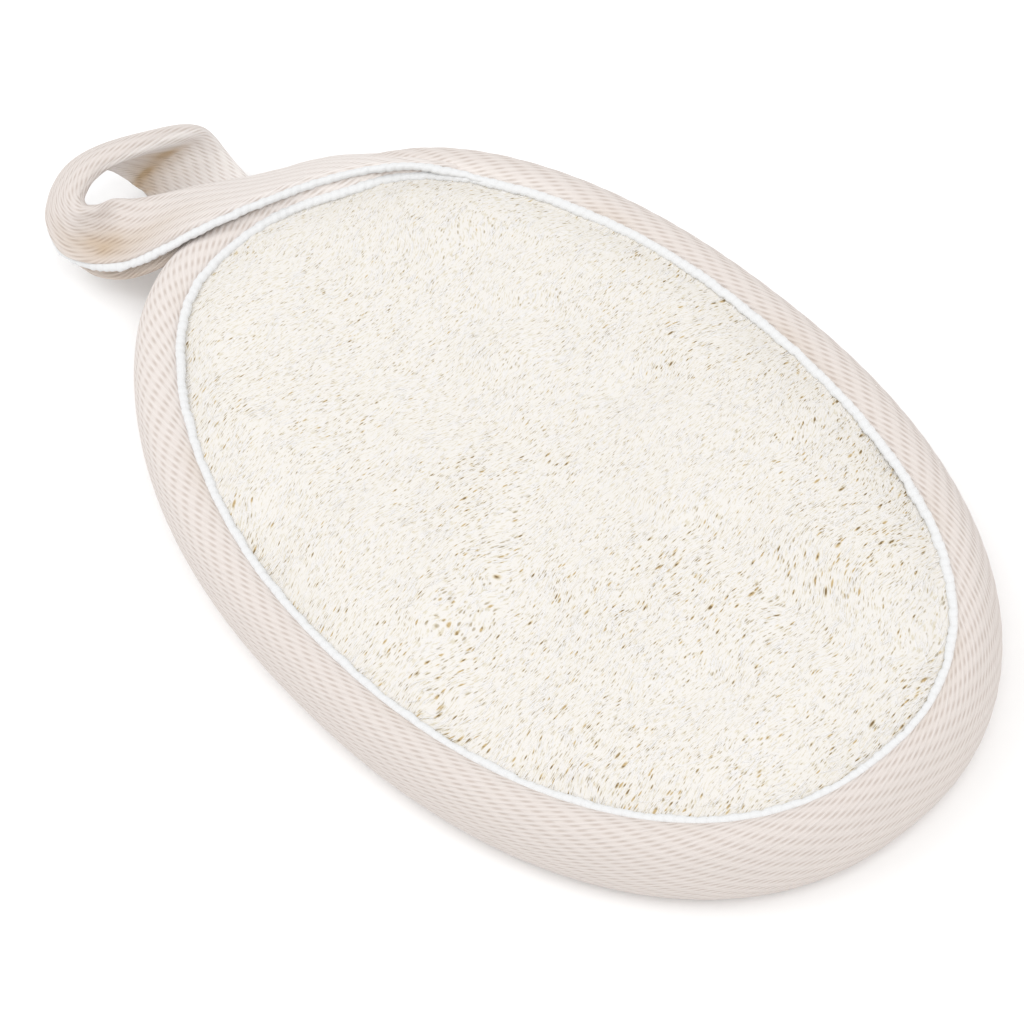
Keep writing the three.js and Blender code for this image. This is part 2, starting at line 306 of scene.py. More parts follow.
# The pad's shape, as the solids have it


@dataclass(frozen=True)
class PadShape:
    """The oval and its sections, in millimetres."""

    length: float = 150
    width: float = 93.4
    oval_power: float = 2.2
    egg_along: float = -0.0037
    egg_across: float = 0.0053
    edge_bends: tuple = ((160, 14, 2.3), (204, 15, -1.1))
    edge_points: int = 720
    edge_height: float = 15
    edge_rounding: float = 4.2
    bottom_press: float = 1.02
    crown_height: float = 16.6
    crown_edge: float = 13.2
    crown_spread: float = 5
    back_edge: float = 1.6
    back_spread: float = 3
    loofah_inset: float = 7.2
    held_inset: float = 2.4
    held_bevel: float = 0.9
    held_low: float = 2.9
    wave_height: float = 0.25
    wave_lengths: tuple = (9, 13, 8, 21)
    row_bends: tuple = ((72, 24, 1.0), (125, 24, 1.0), (187, 45, 2.7), (240, 20, 0.9))

    def bent(self, angle: Array, bends: tuple) -> Array:
        """The sum of soft bumps round the pad.

        Args:
            angle: Angles round the pad.
            bends: Each bump's middle and spread in degrees, and its depth.

        Returns:
            How far in the bumps reach at each angle.
        """
        degrees = np.degrees(angle) % 360
        return sum(depth * bell(degrees, middle, spread) for middle, spread, depth in bends)

    def drift(self, angle: Array) -> Array:
        """How much further in the sewn row lies than where it is nearest to the edge."""
        return self.bent(angle, self.row_bends)

    def mat_depth(self, points: Array) -> Array:
        """How far in from the edge each flat point lies, less the sewn row's drift at its angle."""
        angle = np.arctan2(points[..., 1] / self.width, points[..., 0] / self.length)
        return self.depth_inside(points) - self.drift(angle)

    def oval(self, angle: Array) -> Array:
        """The plain oval: a superellipse whose radius is stretched by cos and sin of three turns.

        Args:
            angle: Angles round the pad.

        Returns:
            Flat points.
        """
        cosine, sine = np.cos(angle), np.sin(angle)
        total = np.abs(cosine) ** self.oval_power + np.abs(sine) ** self.oval_power
        egg = 1 + self.egg_along * np.cos(3 * angle) + self.egg_across * np.sin(3 * angle)
        radius = egg * total ** (-1 / self.oval_power)
        return np.stack([self.length / 2 * cosine * radius, self.width / 2 * sine * radius], axis=-1)

    def normal(self, outline: Outline, angle: Array) -> Array:
        """The outward normal of an outline, square to the line between two near points."""
        along = unit(outline(angle + 0.01) - outline(angle - 0.01))
        return np.stack([along[..., 1], -along[..., 0]], axis=-1)

    def edge(self, angle: Array) -> Array:
        """The oval, moved in along its normal at one bend and out at the next."""
        moved = self.bent(angle, self.edge_bends)
        return self.oval(angle) - self.normal(self.oval, angle) * moved[..., None]

    def inset(self, outline: Outline, angle: Array, inward: Array, height: Array) -> Array:
        """Points a way in from an outline along its normal, at a height.

        Args:
            outline: The oval or the edge.
            angle: Angles round the pad.
            inward: How far in each point lies.
            height: How high each point lies.

        Returns:
            Points as x, y and z.
        """
        angle, inward, height = np.broadcast_arrays(angle, inward, height)
        flat = outline(angle) - self.normal(outline, angle) * inward[..., None]
        return np.concatenate([flat, height[..., None]], axis=-1)

    def tape_section(self, degrees: Array, depth: Array) -> tuple[Array, Array]:
        """The tape's section: an ellipse round the edge, moved in along its normal by a depth.

        Args:
            degrees: Angles round the section, 0 outermost and 90 on top.
            depth: How far under the tape's outer face the point lies.

        Returns:
            How far in and how high each point lies.
        """
        angle = np.radians(degrees)
        half = self.edge_height / 2
        press = np.where(angle < 0, self.bottom_press, 1.0)
        across = unit(np.stack([half * np.cos(angle), -self.edge_rounding * np.sin(angle)], axis=-1))
        inward = self.edge_rounding * (1 - np.cos(angle)) + depth * across[..., 0]
        height = half * (1 + press * np.sin(angle)) + depth * across[..., 1]
        return inward, np.maximum(height, 0)

    def depth_inside(self, points: Array) -> Array:
        """How far in from the edge each flat point lies: the way to the nearest of many edge points.

        Args:
            points: Flat points.

        Returns:
            Distances, negative outside the edge.
        """
        angle = np.linspace(0, TURN, self.edge_points, endpoint=False)
        edge = self.edge(angle)
        out = self.normal(self.edge, angle)
        flat = points.reshape(-1, 2)
        result = np.empty(len(flat))
        batch = 20000
        for part in np.array_split(np.arange(len(flat)), max(1, len(flat) // batch)):
            way = flat[part, None, :] - edge[None, :, :]
            nearest = np.argmin((way ** 2).sum(-1), axis=1)
            picked = way[np.arange(len(part)), nearest]
            result[part] = -(picked * out[nearest]).sum(-1)
        return result.reshape(points.shape[:-1])

    def front(self, x: Array, y: Array, inward: Array) -> Array:
        """The front's height: a crown that falls off near the tape, with a shallow wave.

        The wave is the sine of x, swayed by the sine of y, times the cosine of y and a little of x.

        Args:
            x: Places along the pad.
            y: Places across it.
            inward: How far in from the edge they lie.

        Returns:
            The height at each place.
        """
        fall = np.exp(-np.maximum(inward - self.loofah_inset, 0) / self.crown_spread)
        along, sway, across, lean = self.wave_lengths
        wave = self.wave_height * np.sin(x / along + 2 * np.sin(y / sway)) * np.cos(y / across + x / lean)
        return self.crown_height + (self.crown_edge - self.crown_height) * fall + wave

    def back(self, inward: Array) -> Array:
        """The back's height: flat on the ground, rising a little near the tape."""
        return self.back_edge * np.exp(-np.maximum(inward - self.loofah_inset, 0) / self.back_spread)


# The strap's route, as the solids have it


def spline(stops: Array, place: Array, centripetal: bool) -> tuple[Array, Array]:
    """A smooth curve through the stops, and its direction.

    Between two stops it is a cubic whose end slopes come from the stops on either side. The slopes
    are weighted by the roots of the distances for the centripetal kind, and by a half otherwise.

    Args:
        stops: The points that the curve passes.
        place: Places from 0 at the first stop to 1 at the last.
        centripetal: Whether the slopes follow the distances.

    Returns:
        The points and the slopes at each place.
    """
    padded = np.concatenate([[2 * stops[0] - stops[1]], stops, [2 * stops[-1] - stops[-2]]])
    whole = np.clip(np.floor(place * (len(stops) - 1)).astype(int), 0, len(stops) - 2)
    part = (place * (len(stops) - 1) - whole)[:, None]
    p0, p1, p2, p3 = (padded[whole + k] for k in range(4))
    if centripetal:
        d0, d1, d2 = (np.sqrt(np.linalg.norm(b - a, axis=-1, keepdims=True))
                      for a, b in ((p0, p1), (p1, p2), (p2, p3)))
        start = ((p1 - p0) / d0 - (p2 - p0) / (d0 + d1) + (p2 - p1) / d1) * d1
        end = ((p2 - p1) / d1 - (p3 - p1) / (d1 + d2) + (p3 - p2) / d2) * d1
    else:
        start, end = (p2 - p0) / 2, (p3 - p1) / 2
    square = -3 * p1 + 3 * p2 - 2 * start - end
    cube = 2 * p1 - 2 * p2 + start + end
    points = p1 + part * (start + part * (square + part * cube))
    slopes = start + part * (2 * square + 3 * part * cube)
    return points, slopes


@dataclass(frozen=True)
class StrapRoute:
    """The folded strap's way over the tape's start, off the pad, over, and back to the pad's end."""

    shape: PadShape
    thickness: float = 3.0
    stitch_offset: float = 1.1
    face_inset: float = 0.3
    turn_start: float = 0.62
    turn_end: float = 0.72

    def stops(self) -> tuple[Array, Array, Array]:
        """The places that the strap runs through, in order along it.

        A stop on the edge holds its angle, the fold's inset and height, the stitches' inset and
        height, the bulge and the gape. A free one holds the fold's x, y and z, the stitches' x, y
        and z, the bulge and the gape.

        Returns:
            The folded edge's stops, the stitched edge's, and how far the strap bulges and gapes there.
        """
        on_edge = [(130, 1, 8, 6.4, 13.9, 1, 0), (140, 0.8, 8.5, 7.65, 14.9, 1, 0),
                   (150, 0.6, 8.5, 8.4, 15.2, 0.9, 0)]
        free = [
            (-73, 18, 8, -64.95, 11.4, 15, 0.6, 0),
            (-77.5, 8, 9, -67.9, 1.9, 15.6, 0.4, 0.5),
            (-81.5, -2.5, 12, -71, -9, 15.5, 0.4, 2.6),
            (-85, -10.5, 14, -76, -17, 12, -0.8, 4),
            (-86.5, -13.5, 15.5, -80.3, -19.7, 9.8, -1.4, 4.2),
            (-86.5, -16.5, 16.5, -85.1, -21.8, 8.7, -1.2, 2.8),
            (-87.5, -18, 17, -89.7, -22.8, 8.7, -0.4, 0.8),
            (-89, -17.5, 17.5, -94, -21.5, 10.5, 0.4, 0),
            (-90, -15.5, 18, -97, -18.5, 11.5, 0.8, 0),
            (-91, -12, 18, -99, -14, 12, 1, 0),
            (-90.5, -5, 17.6, -99.5, -8, 9.5, 1, 0),
            (-91, 3, 14.6, -98.3, -6, 6.2, 0.8, 0),
            (-91.5, 6.8, 11.5, -97.4, -5.6, 4.8, 0.6, 0),
            (-91.5, 8.3, 8.3, -95.8, -5.6, 4.4, 0.2, 0),
            (-90.5, 8.8, 5.8, -93.2, -5.6, 4.4, 0, 0),
            (-87.5, 8.6, 4.8, -89.7, -6, 4.3, 0, 0),
            (-81, 8, 4.3, -82, -6.5, 4.2, 0, 0),
            (-73.8, 6.5, 4.2, -73.8, -7, 4.2, 0, 0),
        ]
        start = np.array(on_edge, float)
        rest = np.array(free, float)
        angle = np.radians(start[:, 0])
        fold = self.shape.inset(self.shape.oval, angle, start[:, 1], start[:, 2])
        stitch = self.shape.inset(self.shape.oval, angle, start[:, 3], start[:, 4])
        return (
            np.concatenate([fold, rest[:, :3]]),
            np.concatenate([stitch, rest[:, 3:6]]),
            np.concatenate([start[:, 5:], rest[:, 6:]]),
        )

    def frames(self, place: Array) -> dict[str, Array]:
        """Where the strap's edges run and which way its outer face looks.

        Args:
            place: Places from 0 at its start to 1 at its sewn end.

        Returns:
            The fold's and stitches' places, the across and outward directions, and the bulge and gape.
        """
        folds, stitches, shapes = self.stops()
        fold, fold_slope = spline(folds, place, True)
        stitch, stitch_slope = spline(stitches, place, True)
        form, _ = spline(shapes, place, False)
        along = unit(unit(fold_slope) + unit(stitch_slope))
        across = unit(stitch - fold)
        return {
            "fold": fold, "stitch": stitch, "across": across,
            "outward": unit(np.cross(along, across)), "bulge": form[:, 0], "gape": form[:, 1],
        }

    def stitch_line(self, place: Array) -> dict[str, Array]:
        """The stitching's middle line beside the open edge, turned onto the outer face past the loop.

        Args:
            place: Places along the strap.

        Returns:
            The frames with the stitching's middle under stitch.
        """
        frames = self.frames(place)
        half = self.thickness / 2
        corner = self.stitch_offset * math.pi / 2
        way = smoothstep(place, self.turn_start, self.turn_end) * (half + corner + self.face_inset)
        turned = np.clip((way - half) / self.stitch_offset, 0, math.pi / 2)
        past = np.maximum(way - half - corner, 0)
        across = self.stitch_offset * (np.cos(turned) - 1) - past
        outward = np.minimum(way, half) + self.stitch_offset * np.sin(turned)
        frames["stitch"] = (
            frames["stitch"] + frames["across"] * across[:, None] + frames["outward"] * outward[:, None]
        )
        return frames


# Finishes


class Nodes:
    """A material's nodes, added and joined in few words."""

    def __init__(self, name: str) -> None:
        """Starts a material with a plain shader.

        Args:
            name: The material's name.
        """
        self.material = bpy.data.materials.new(name)
        self.material.use_nodes = True
        self.tree = self.material.node_tree
        self.shader = self.tree.nodes["Principled BSDF"]

    def add(self, kind: str, **settings: object) -> bpy.types.Node:
        """Adds a node and sets its options and its sockets' values.

        Args:
            kind: The node's type.
            **settings: Options by name, and socket values under their names with _ for spaces.

        Returns:
            The node.
        """
        node = self.tree.nodes.new(kind)
        for key, value in settings.items():
            if hasattr(node, key):
                setattr(node, key, value)
            else:
                node.inputs[key.replace("_", " ")].default_value = value
        return node

    def link(self, out: Socket, into: Socket) -> None:
        """Joins one socket to another."""
        self.tree.links.new(out, into)

    def attribute(self, name: str) -> Socket:
        """Reads a number that the piece's mesh carries."""
        return self.add("ShaderNodeAttribute", attribute_name=name).outputs["Fac"]

    def map(self) -> Socket:
        """Reads the piece's own map."""
        return self.add("ShaderNodeUVMap", uv_map="along_across").outputs["UV"]

    def stretched(self, place: Socket, first: float, second: float) -> Socket:
        """Multiplies a map's two numbers.

        Args:
            place: The map's socket.
            first: What its first number is multiplied by.
            second: What its second number is multiplied by.

        Returns:
            The stretched map's socket.
        """
        node = self.add("ShaderNodeMapping")
        node.inputs["Scale"].default_value = (first, second, 1.0)
        self.link(place, node.inputs["Vector"])
        return node.outputs["Vector"]

    def noise(self, place: Socket, scale: float, detail: float, dimensions: str = "2D") -> Socket:
        """Adds cloudy noise.

        Args:
            place: Where the noise is read.
            scale: How many clouds lie in one unit of the place.
            detail: How many finer layers it has.
            dimensions: 2D or 3D.

        Returns:
            The noise's socket, from 0 to 1.
        """
        node = self.add("ShaderNodeTexNoise", noise_dimensions=dimensions, Scale=scale, Detail=detail)
        self.link(place, node.inputs["Vector"])
        return node.outputs["Fac"]

    def figure(self, operation: str, *values: Socket) -> Socket:
        """Works out one number from others.

        Args:
            operation: How, such as ADD or COSINE.
            *values: The numbers' sockets.

        Returns:
            The result's socket.
        """
        node = self.add("ShaderNodeMath", operation=operation)
        for value, socket in zip(values, node.inputs):
            self.link(value, socket)
        return node.outputs[0]

    def spread(self, value: Socket, low: float, high: float, top: float = 1.0,
               kind: str = "LINEAR") -> Socket:
        """Carries a number's range onto another that starts at 0.

        Args:
            value: The number's socket.
            low: The value that becomes 0.
            high: The value that becomes the top.
            top: The highest result.
            kind: LINEAR or SMOOTHSTEP.

        Returns:
            The result's socket, clamped to its range.
        """
        node = self.add("ShaderNodeMapRange", interpolation_type=kind)
        node.inputs["From Min"].default_value = low
        node.inputs["From Max"].default_value = high
        node.inputs["To Max"].default_value = top
        self.link(value, node.inputs["Value"])
        return node.outputs["Result"]

    def ramp(self, value: Socket, stops: list[tuple[float, Colour]]) -> Socket:
        """Turns a number into a colour.

        Args:
            value: The number's socket.
            stops: Each place and its colour as red, green and blue.

        Returns:
            The colour's socket.
        """
        node = self.add("ShaderNodeValToRGB")
        elements = node.color_ramp.elements
        while len(elements) < len(stops):
            elements.new(0.5)
        for element, (place, colour) in zip(elements, stops):
            element.position = place
            element.color = (*colour, 1)
        self.link(value, node.inputs["Fac"])
        return node.outputs["Color"]

    def mix(self, kind: str, share: float | Socket, first: Colour | Socket,
            second: Colour | Socket) -> Socket:
        """Blends two colours.

        Args:
            kind: How they blend, such as MIX or MULTIPLY.
            share: A number or a socket.
            first: A colour or a socket.
            second: A colour or a socket.

        Returns:
            The blended colour's socket.
        """
        node = self.add("ShaderNodeMix", data_type="RGBA", blend_type=kind)
        for value, socket in ((share, node.inputs[0]), (first, node.inputs[6]), (second, node.inputs[7])):
            if isinstance(value, Socket):
                self.link(value, socket)
            else:
                socket.default_value = (*value, 1) if isinstance(value, tuple) else value
        return node.outputs[2]

    def bump(self, height: Socket, depth: float, before: Socket | None = None,
             invert: bool = False) -> Socket:
        """Adds fine relief.

        Args:
            height: The relief's socket, from 0 to 1.
            depth: How deep it is, in millimetres.
            before: The normal of relief that is already there.
            invert: Whether 1 is the lowest.

        Returns:
            The normal's socket.
        """
        node = self.add("ShaderNodeBump", invert=invert, Distance=depth * MM, Strength=1.0)
        self.link(height, node.inputs["Height"])
        if before is not None:
            self.link(before, node.inputs["Normal"])
        return node.outputs["Normal"]

    def finish(self, colour: Socket, normal: Socket, roughness: float, specular: float,
               sheen: float = 0.0) -> bpy.types.Material:
        """Gives the shader its colour, relief and gloss.

        Args:
            colour: The colour's socket.
            normal: The relief's socket.
            roughness: How matt it is.
            specular: How strongly it shines.
            sheen: How much light its fuzz catches.

        Returns:
            The material.
        """
        self.link(colour, self.shader.inputs["Base Color"])
        self.link(normal, self.shader.inputs["Normal"])
        self.shader.inputs["Roughness"].default_value = roughness
        self.shader.inputs["Specular IOR Level"].default_value = specular
        self.shader.inputs["Sheen Weight"].default_value = sheen
        return self.material


@dataclass(frozen=True)
class LoofahFinish:
    """Dry plant fibre: cream, streaked along its grain, with small pits between the fibres painted in
    shade, dark and ochre.
    """

    pale: Colour = (0.785, 0.77, 0.762)
    straw: Colour = (0.762, 0.728, 0.685)
    streak: Colour = (0.84, 0.80, 0.68)
    # Painted shade: the next colours are the shade of lower fibres and of the holes between the fibres,
    # with the fibres' ochre tone in the holes.
    shade: Colour = (0.60, 0.54, 0.43)
    shaded_tan: Colour = (0.72, 0.64, 0.47)
    pit_shadow: Colour = (0.22, 0.15, 0.07)
    ochre: Colour = (0.52, 0.385, 0.20)
    fibre_pitch: tuple[float, float] = (5200.0, 950.0)
    tone_pitch: float = 1300.0
    relief: float = 0.07
    roughness: float = 0.8
    specular: float = 0.2
    fullest: float = 1.03
    soft_edge: float = 0.05
    soft_part: float = 0.65

    def pits(self, nodes: Nodes, wide: float, long: float, rare: float, size: float) -> Socket:
        """Marks small ovals, one in some of the cells of a stretched pattern, each of its own size.

        Args:
            nodes: The material's nodes.
            wide: A cell's width across the grain, in metres.
            long: Its length along the grain.
            rare: The share of the cells that have no pit.
            size: The biggest pit's radius, as a share of the cell.

        Returns:
            A socket that is 1 in the pits' middles and 0 outside them.
        """
        spots = nodes.add("ShaderNodeTexVoronoi", voronoi_dimensions="2D", Scale=1.0)
        nodes.link(nodes.stretched(nodes.map(), 1 / wide, 1 / long), spots.inputs["Vector"])
        drawn = nodes.add("ShaderNodeSeparateColor")
        nodes.link(spots.outputs["Color"], drawn.inputs["Color"])
        crowd = nodes.figure("ADD", drawn.outputs["Red"], nodes.attribute("crowd"))
        radius = nodes.spread(crowd, rare, self.fullest, size)
        within = nodes.figure("SUBTRACT", radius, spots.outputs["Distance"])
        return nodes.spread(within, -self.soft_edge, size * self.soft_part, kind="SMOOTHSTEP")

    def make(self, name: str) -> bpy.types.Material:
        """Makes the fibres' finish, which reads the grain's map and the mesh's tint, lift and crowd, and
        paints shade on the lower fibres and in the pits.

        Args:
            name: The material's name.

        Returns:
            The material.
        """
        nodes = Nodes(name)
        grain = nodes.noise(nodes.stretched(nodes.map(), *self.fibre_pitch), 1.0, 3.0)
        tint = nodes.ramp(nodes.attribute("tint"), [(0.0, self.straw), (0.4, self.pale), (1.0, self.pale)])
        streaks = nodes.ramp(grain, [(0.32, self.streak), (0.47, WHITE)])
        colour = nodes.mix("MULTIPLY", 1.0, tint, streaks)
        # Painted shade: points that lie lower, by their lift, are mixed towards the shaded tan.
        low = nodes.ramp(nodes.attribute("lift"), [(0.0, WHITE), (1.0, BLACK)])
        colour = nodes.mix("MIX", low, colour, self.shaded_tan)
        # The pits are painted shade of the holes between the fibres: faint ones darken, the rest go tan at
        # the rim and dark or ochre in the middle.
        faint = self.pits(nodes, 0.00029, 0.00115, 0.55, 0.46)
        small = self.pits(nodes, 0.00037, 0.00130, 0.84, 0.50)
        large = self.pits(nodes, 0.00095, 0.00240, 0.95, 0.33)
        colour = nodes.mix("MULTIPLY", 1.0, colour, nodes.ramp(faint, [(0.1, WHITE), (1.0, self.shade)]))
        pit = nodes.figure("MAXIMUM", small, large)
        depth = nodes.ramp(pit, [(0.0, BLACK), (0.4, (0.55, 0.55, 0.55)), (1.0, WHITE)])
        tone = nodes.noise(nodes.map(), self.tone_pitch, 1.0)
        middle = nodes.ramp(tone, [(0.42, self.pit_shadow), (0.56, self.ochre)])
        shaded_hollow = nodes.mix("MIX", nodes.ramp(pit, [(0.2, BLACK), (1.0, WHITE)]), self.shaded_tan, middle)
        colour = nodes.mix("MIX", depth, colour, shaded_hollow)
        return nodes.finish(colour, nodes.bump(grain, self.relief), self.roughness, self.specular)


@dataclass(frozen=True)
class TwillFinish:
    """Natural cotton twill: coarse slanting ribs, crossed by the short yarns that they're made of."""

    rib: Colour = (0.735, 0.68, 0.65)
    # The groove colour and the shadow are painted shade; the last colour of the four is painted light,
    # which brightens cotton where shade falls.
    groove_shade: Colour = (0.60, 0.53, 0.49)
    shadow: Colour = (0.95, 0.94, 0.93)
    # Brown colour for the browning: on the loop it is painted warm shade, on the tape a browner tone in
    # patches near the row.
    browning_colour: Colour = (0.70, 0.56, 0.38)
    painted_light: Colour = (1.20, 1.24, 1.265)
    groove_edge: float = -0.6
    yarn_pitch: tuple[float, float] = (1300.0, 4500.0)
    yarn_relief: float = 0.06
    groove_relief: float = 0.05
    roughness: float = 0.88
    specular: float = 0.2
    sheen: float = 0.1

    def make(self, name: str) -> bpy.types.Material:
        """Makes the twill, which reads the ribs' and yarns' numbers from its map, its browning and its
        painted light.

        A groove is painted in shade, darker, where the cosines of the rib's and of the yarn's number are
        both high.

        Args:
            name: The material's name.

        Returns:
            The material.
        """
        nodes = Nodes(name)
        numbers = nodes.add("ShaderNodeSeparateXYZ")
        nodes.link(nodes.stretched(nodes.map(), TURN / MM, TURN / MM), numbers.inputs["Vector"])
        rib, yarn = (nodes.spread(nodes.figure("COSINE", numbers.outputs[axis]), self.groove_edge, 1.0)
                     for axis in ("X", "Y"))
        thread = nodes.noise(nodes.stretched(nodes.map(), *self.yarn_pitch), 1.0, 4.0)
        # Painted shade in the grooves, and between the yarns by the shadow colour.
        colour = nodes.mix("MIX", nodes.figure("MULTIPLY", rib, yarn), self.rib, self.groove_shade)
        colour = nodes.mix("MULTIPLY", 1.0, colour, nodes.ramp(yarn, [(0.0, WHITE), (1.0, self.shadow)]))
        colour = nodes.mix("MULTIPLY", 1.0, colour, nodes.ramp(thread, [(0.3, self.shadow), (0.6, WHITE)]))
        # Browner where the browning is high; on the loop this is painted warm shade.
        colour = nodes.mix("MULTIPLY", nodes.attribute("browning"), colour, self.browning_colour)
        # Painted light: the colour is brightened where shade falls, by the mesh's painted light share.
        colour = nodes.mix("MULTIPLY", nodes.attribute("painted_light"), colour, self.painted_light)
        fine = nodes.bump(thread, self.yarn_relief)
        relief = nodes.bump(yarn, self.groove_relief, fine, invert=True)
        return nodes.finish(colour, relief, self.roughness, self.specular, self.sheen)


@dataclass(frozen=True)
class ThreadFinish:
    """Bright white sewing thread with fine twist, painted in shade between the stitches."""

    colour: Colour = (0.765, 0.77, 0.775)
    shaded_hollow: Colour = (0.735, 0.735, 0.735)
    twist_pitch: float = 3200.0
    twist_relief: float = 0.1
    roughness: float = 0.7
    specular: float = 0.3
    sheen: float = 0.2

    def make(self, name: str) -> bpy.types.Material:
        """Makes the thread, which reads the mesh's rib value and paints shade where it is low, between the
        stitches.

        Args:
            name: The material's name.

        Returns:
            The material.
        """
        nodes = Nodes(name)
        # Painted shade: the thread is darker where the rib value is low, in the dips between stitches.
        stops = [(0.0, self.shaded_hollow), (0.5, self.colour), (1.0, self.colour)]
        colour = nodes.ramp(nodes.attribute("rib"), stops)
        place = nodes.add("ShaderNodeTexCoord").outputs["Object"]
        twist = nodes.noise(place, self.twist_pitch, 2.0, "3D")
        relief = nodes.bump(twist, self.twist_relief)
        return nodes.finish(colour, relief, self.roughness, self.specular, self.sheen)


# Sub-assemblies


@dataclass(frozen=True)
class Twill:
    """The weave: ribs that slant one way along the tape, and yarns that slant the other way."""

    rib_pitch: float = 1.78
    rib_slant: float = -20
    yarn_pitch: float = 0.64
    yarn_slant: float = 17
    height: float = 0.07

    def numbers(self, along: Array, across: Array) -> Array:
        """How many ribs and yarns lie between the tape's corner and a place on it.

        Args:
            along: The way along the tape.
            across: The way across it.

        Returns:
            The rib's number and the yarn's.
        """
        counted = []
        for pitch, slant in ((self.rib_pitch, self.rib_slant), (self.yarn_pitch, self.yarn_slant)):
            turn = math.radians(slant)
            counted.append((across * math.cos(turn) - along * math.sin(turn)) / pitch)
        return np.stack(np.broadcast_arrays(*counted), axis=-1)

    def sink(self, numbers: Array) -> Array:
        """How far the surface lies under the ribs' tops: most where the rib's cosine is highest."""
        return self.height * (0.5 + 0.5 * np.cos(TURN * numbers[..., 0]))


@dataclass
class Grain:
    """The fibres' direction over one face, from a map whose second axis runs along the fibres.

    The map's first axis is the way across the grain, bent by smooth noise of three sizes.
    """

    seed: int
    lean: float = 0.12
    swirls: tuple = ((24, 4.8), (9, 1.5), (3.6, 0.5))

    def __post_init__(self) -> None:
        """Draws the noise once."""
        self.noise = SmoothNoise(self.seed)

    def place(self, x: Array, y: Array) -> Array:
        """The map's place at flat points.

        Args:
            x: Places along the pad.
            y: Places across it.

        Returns:
            The way across the grain and the way along it.
        """
        cosine, sine = math.cos(self.lean), math.sin(self.lean)
        across, along = x * cosine + y * sine, y * cosine - x * sine
        for size, reach in self.swirls:
            across = across + reach * self.noise(x / size + 31, y / size + 31)
            along = along + 0.25 * reach * self.noise(x / size + 7, y / size + 53)
        return np.stack([across, along], axis=-1)

    def angle(self, x: Array, y: Array) -> Array:
        """The direction in which the way across the grain doesn't change.

        Args:
            x: Places along the pad.
            y: Places across it.

        Returns:
            The direction at each place, in radians.
        """
        near = 0.05
        by_x = self.place(x + near, y)[..., 0] - self.place(x - near, y)[..., 0]
        by_y = self.place(x, y + near)[..., 0] - self.place(x, y - near)[..., 0]
        return np.arctan2(by_x, -by_y)


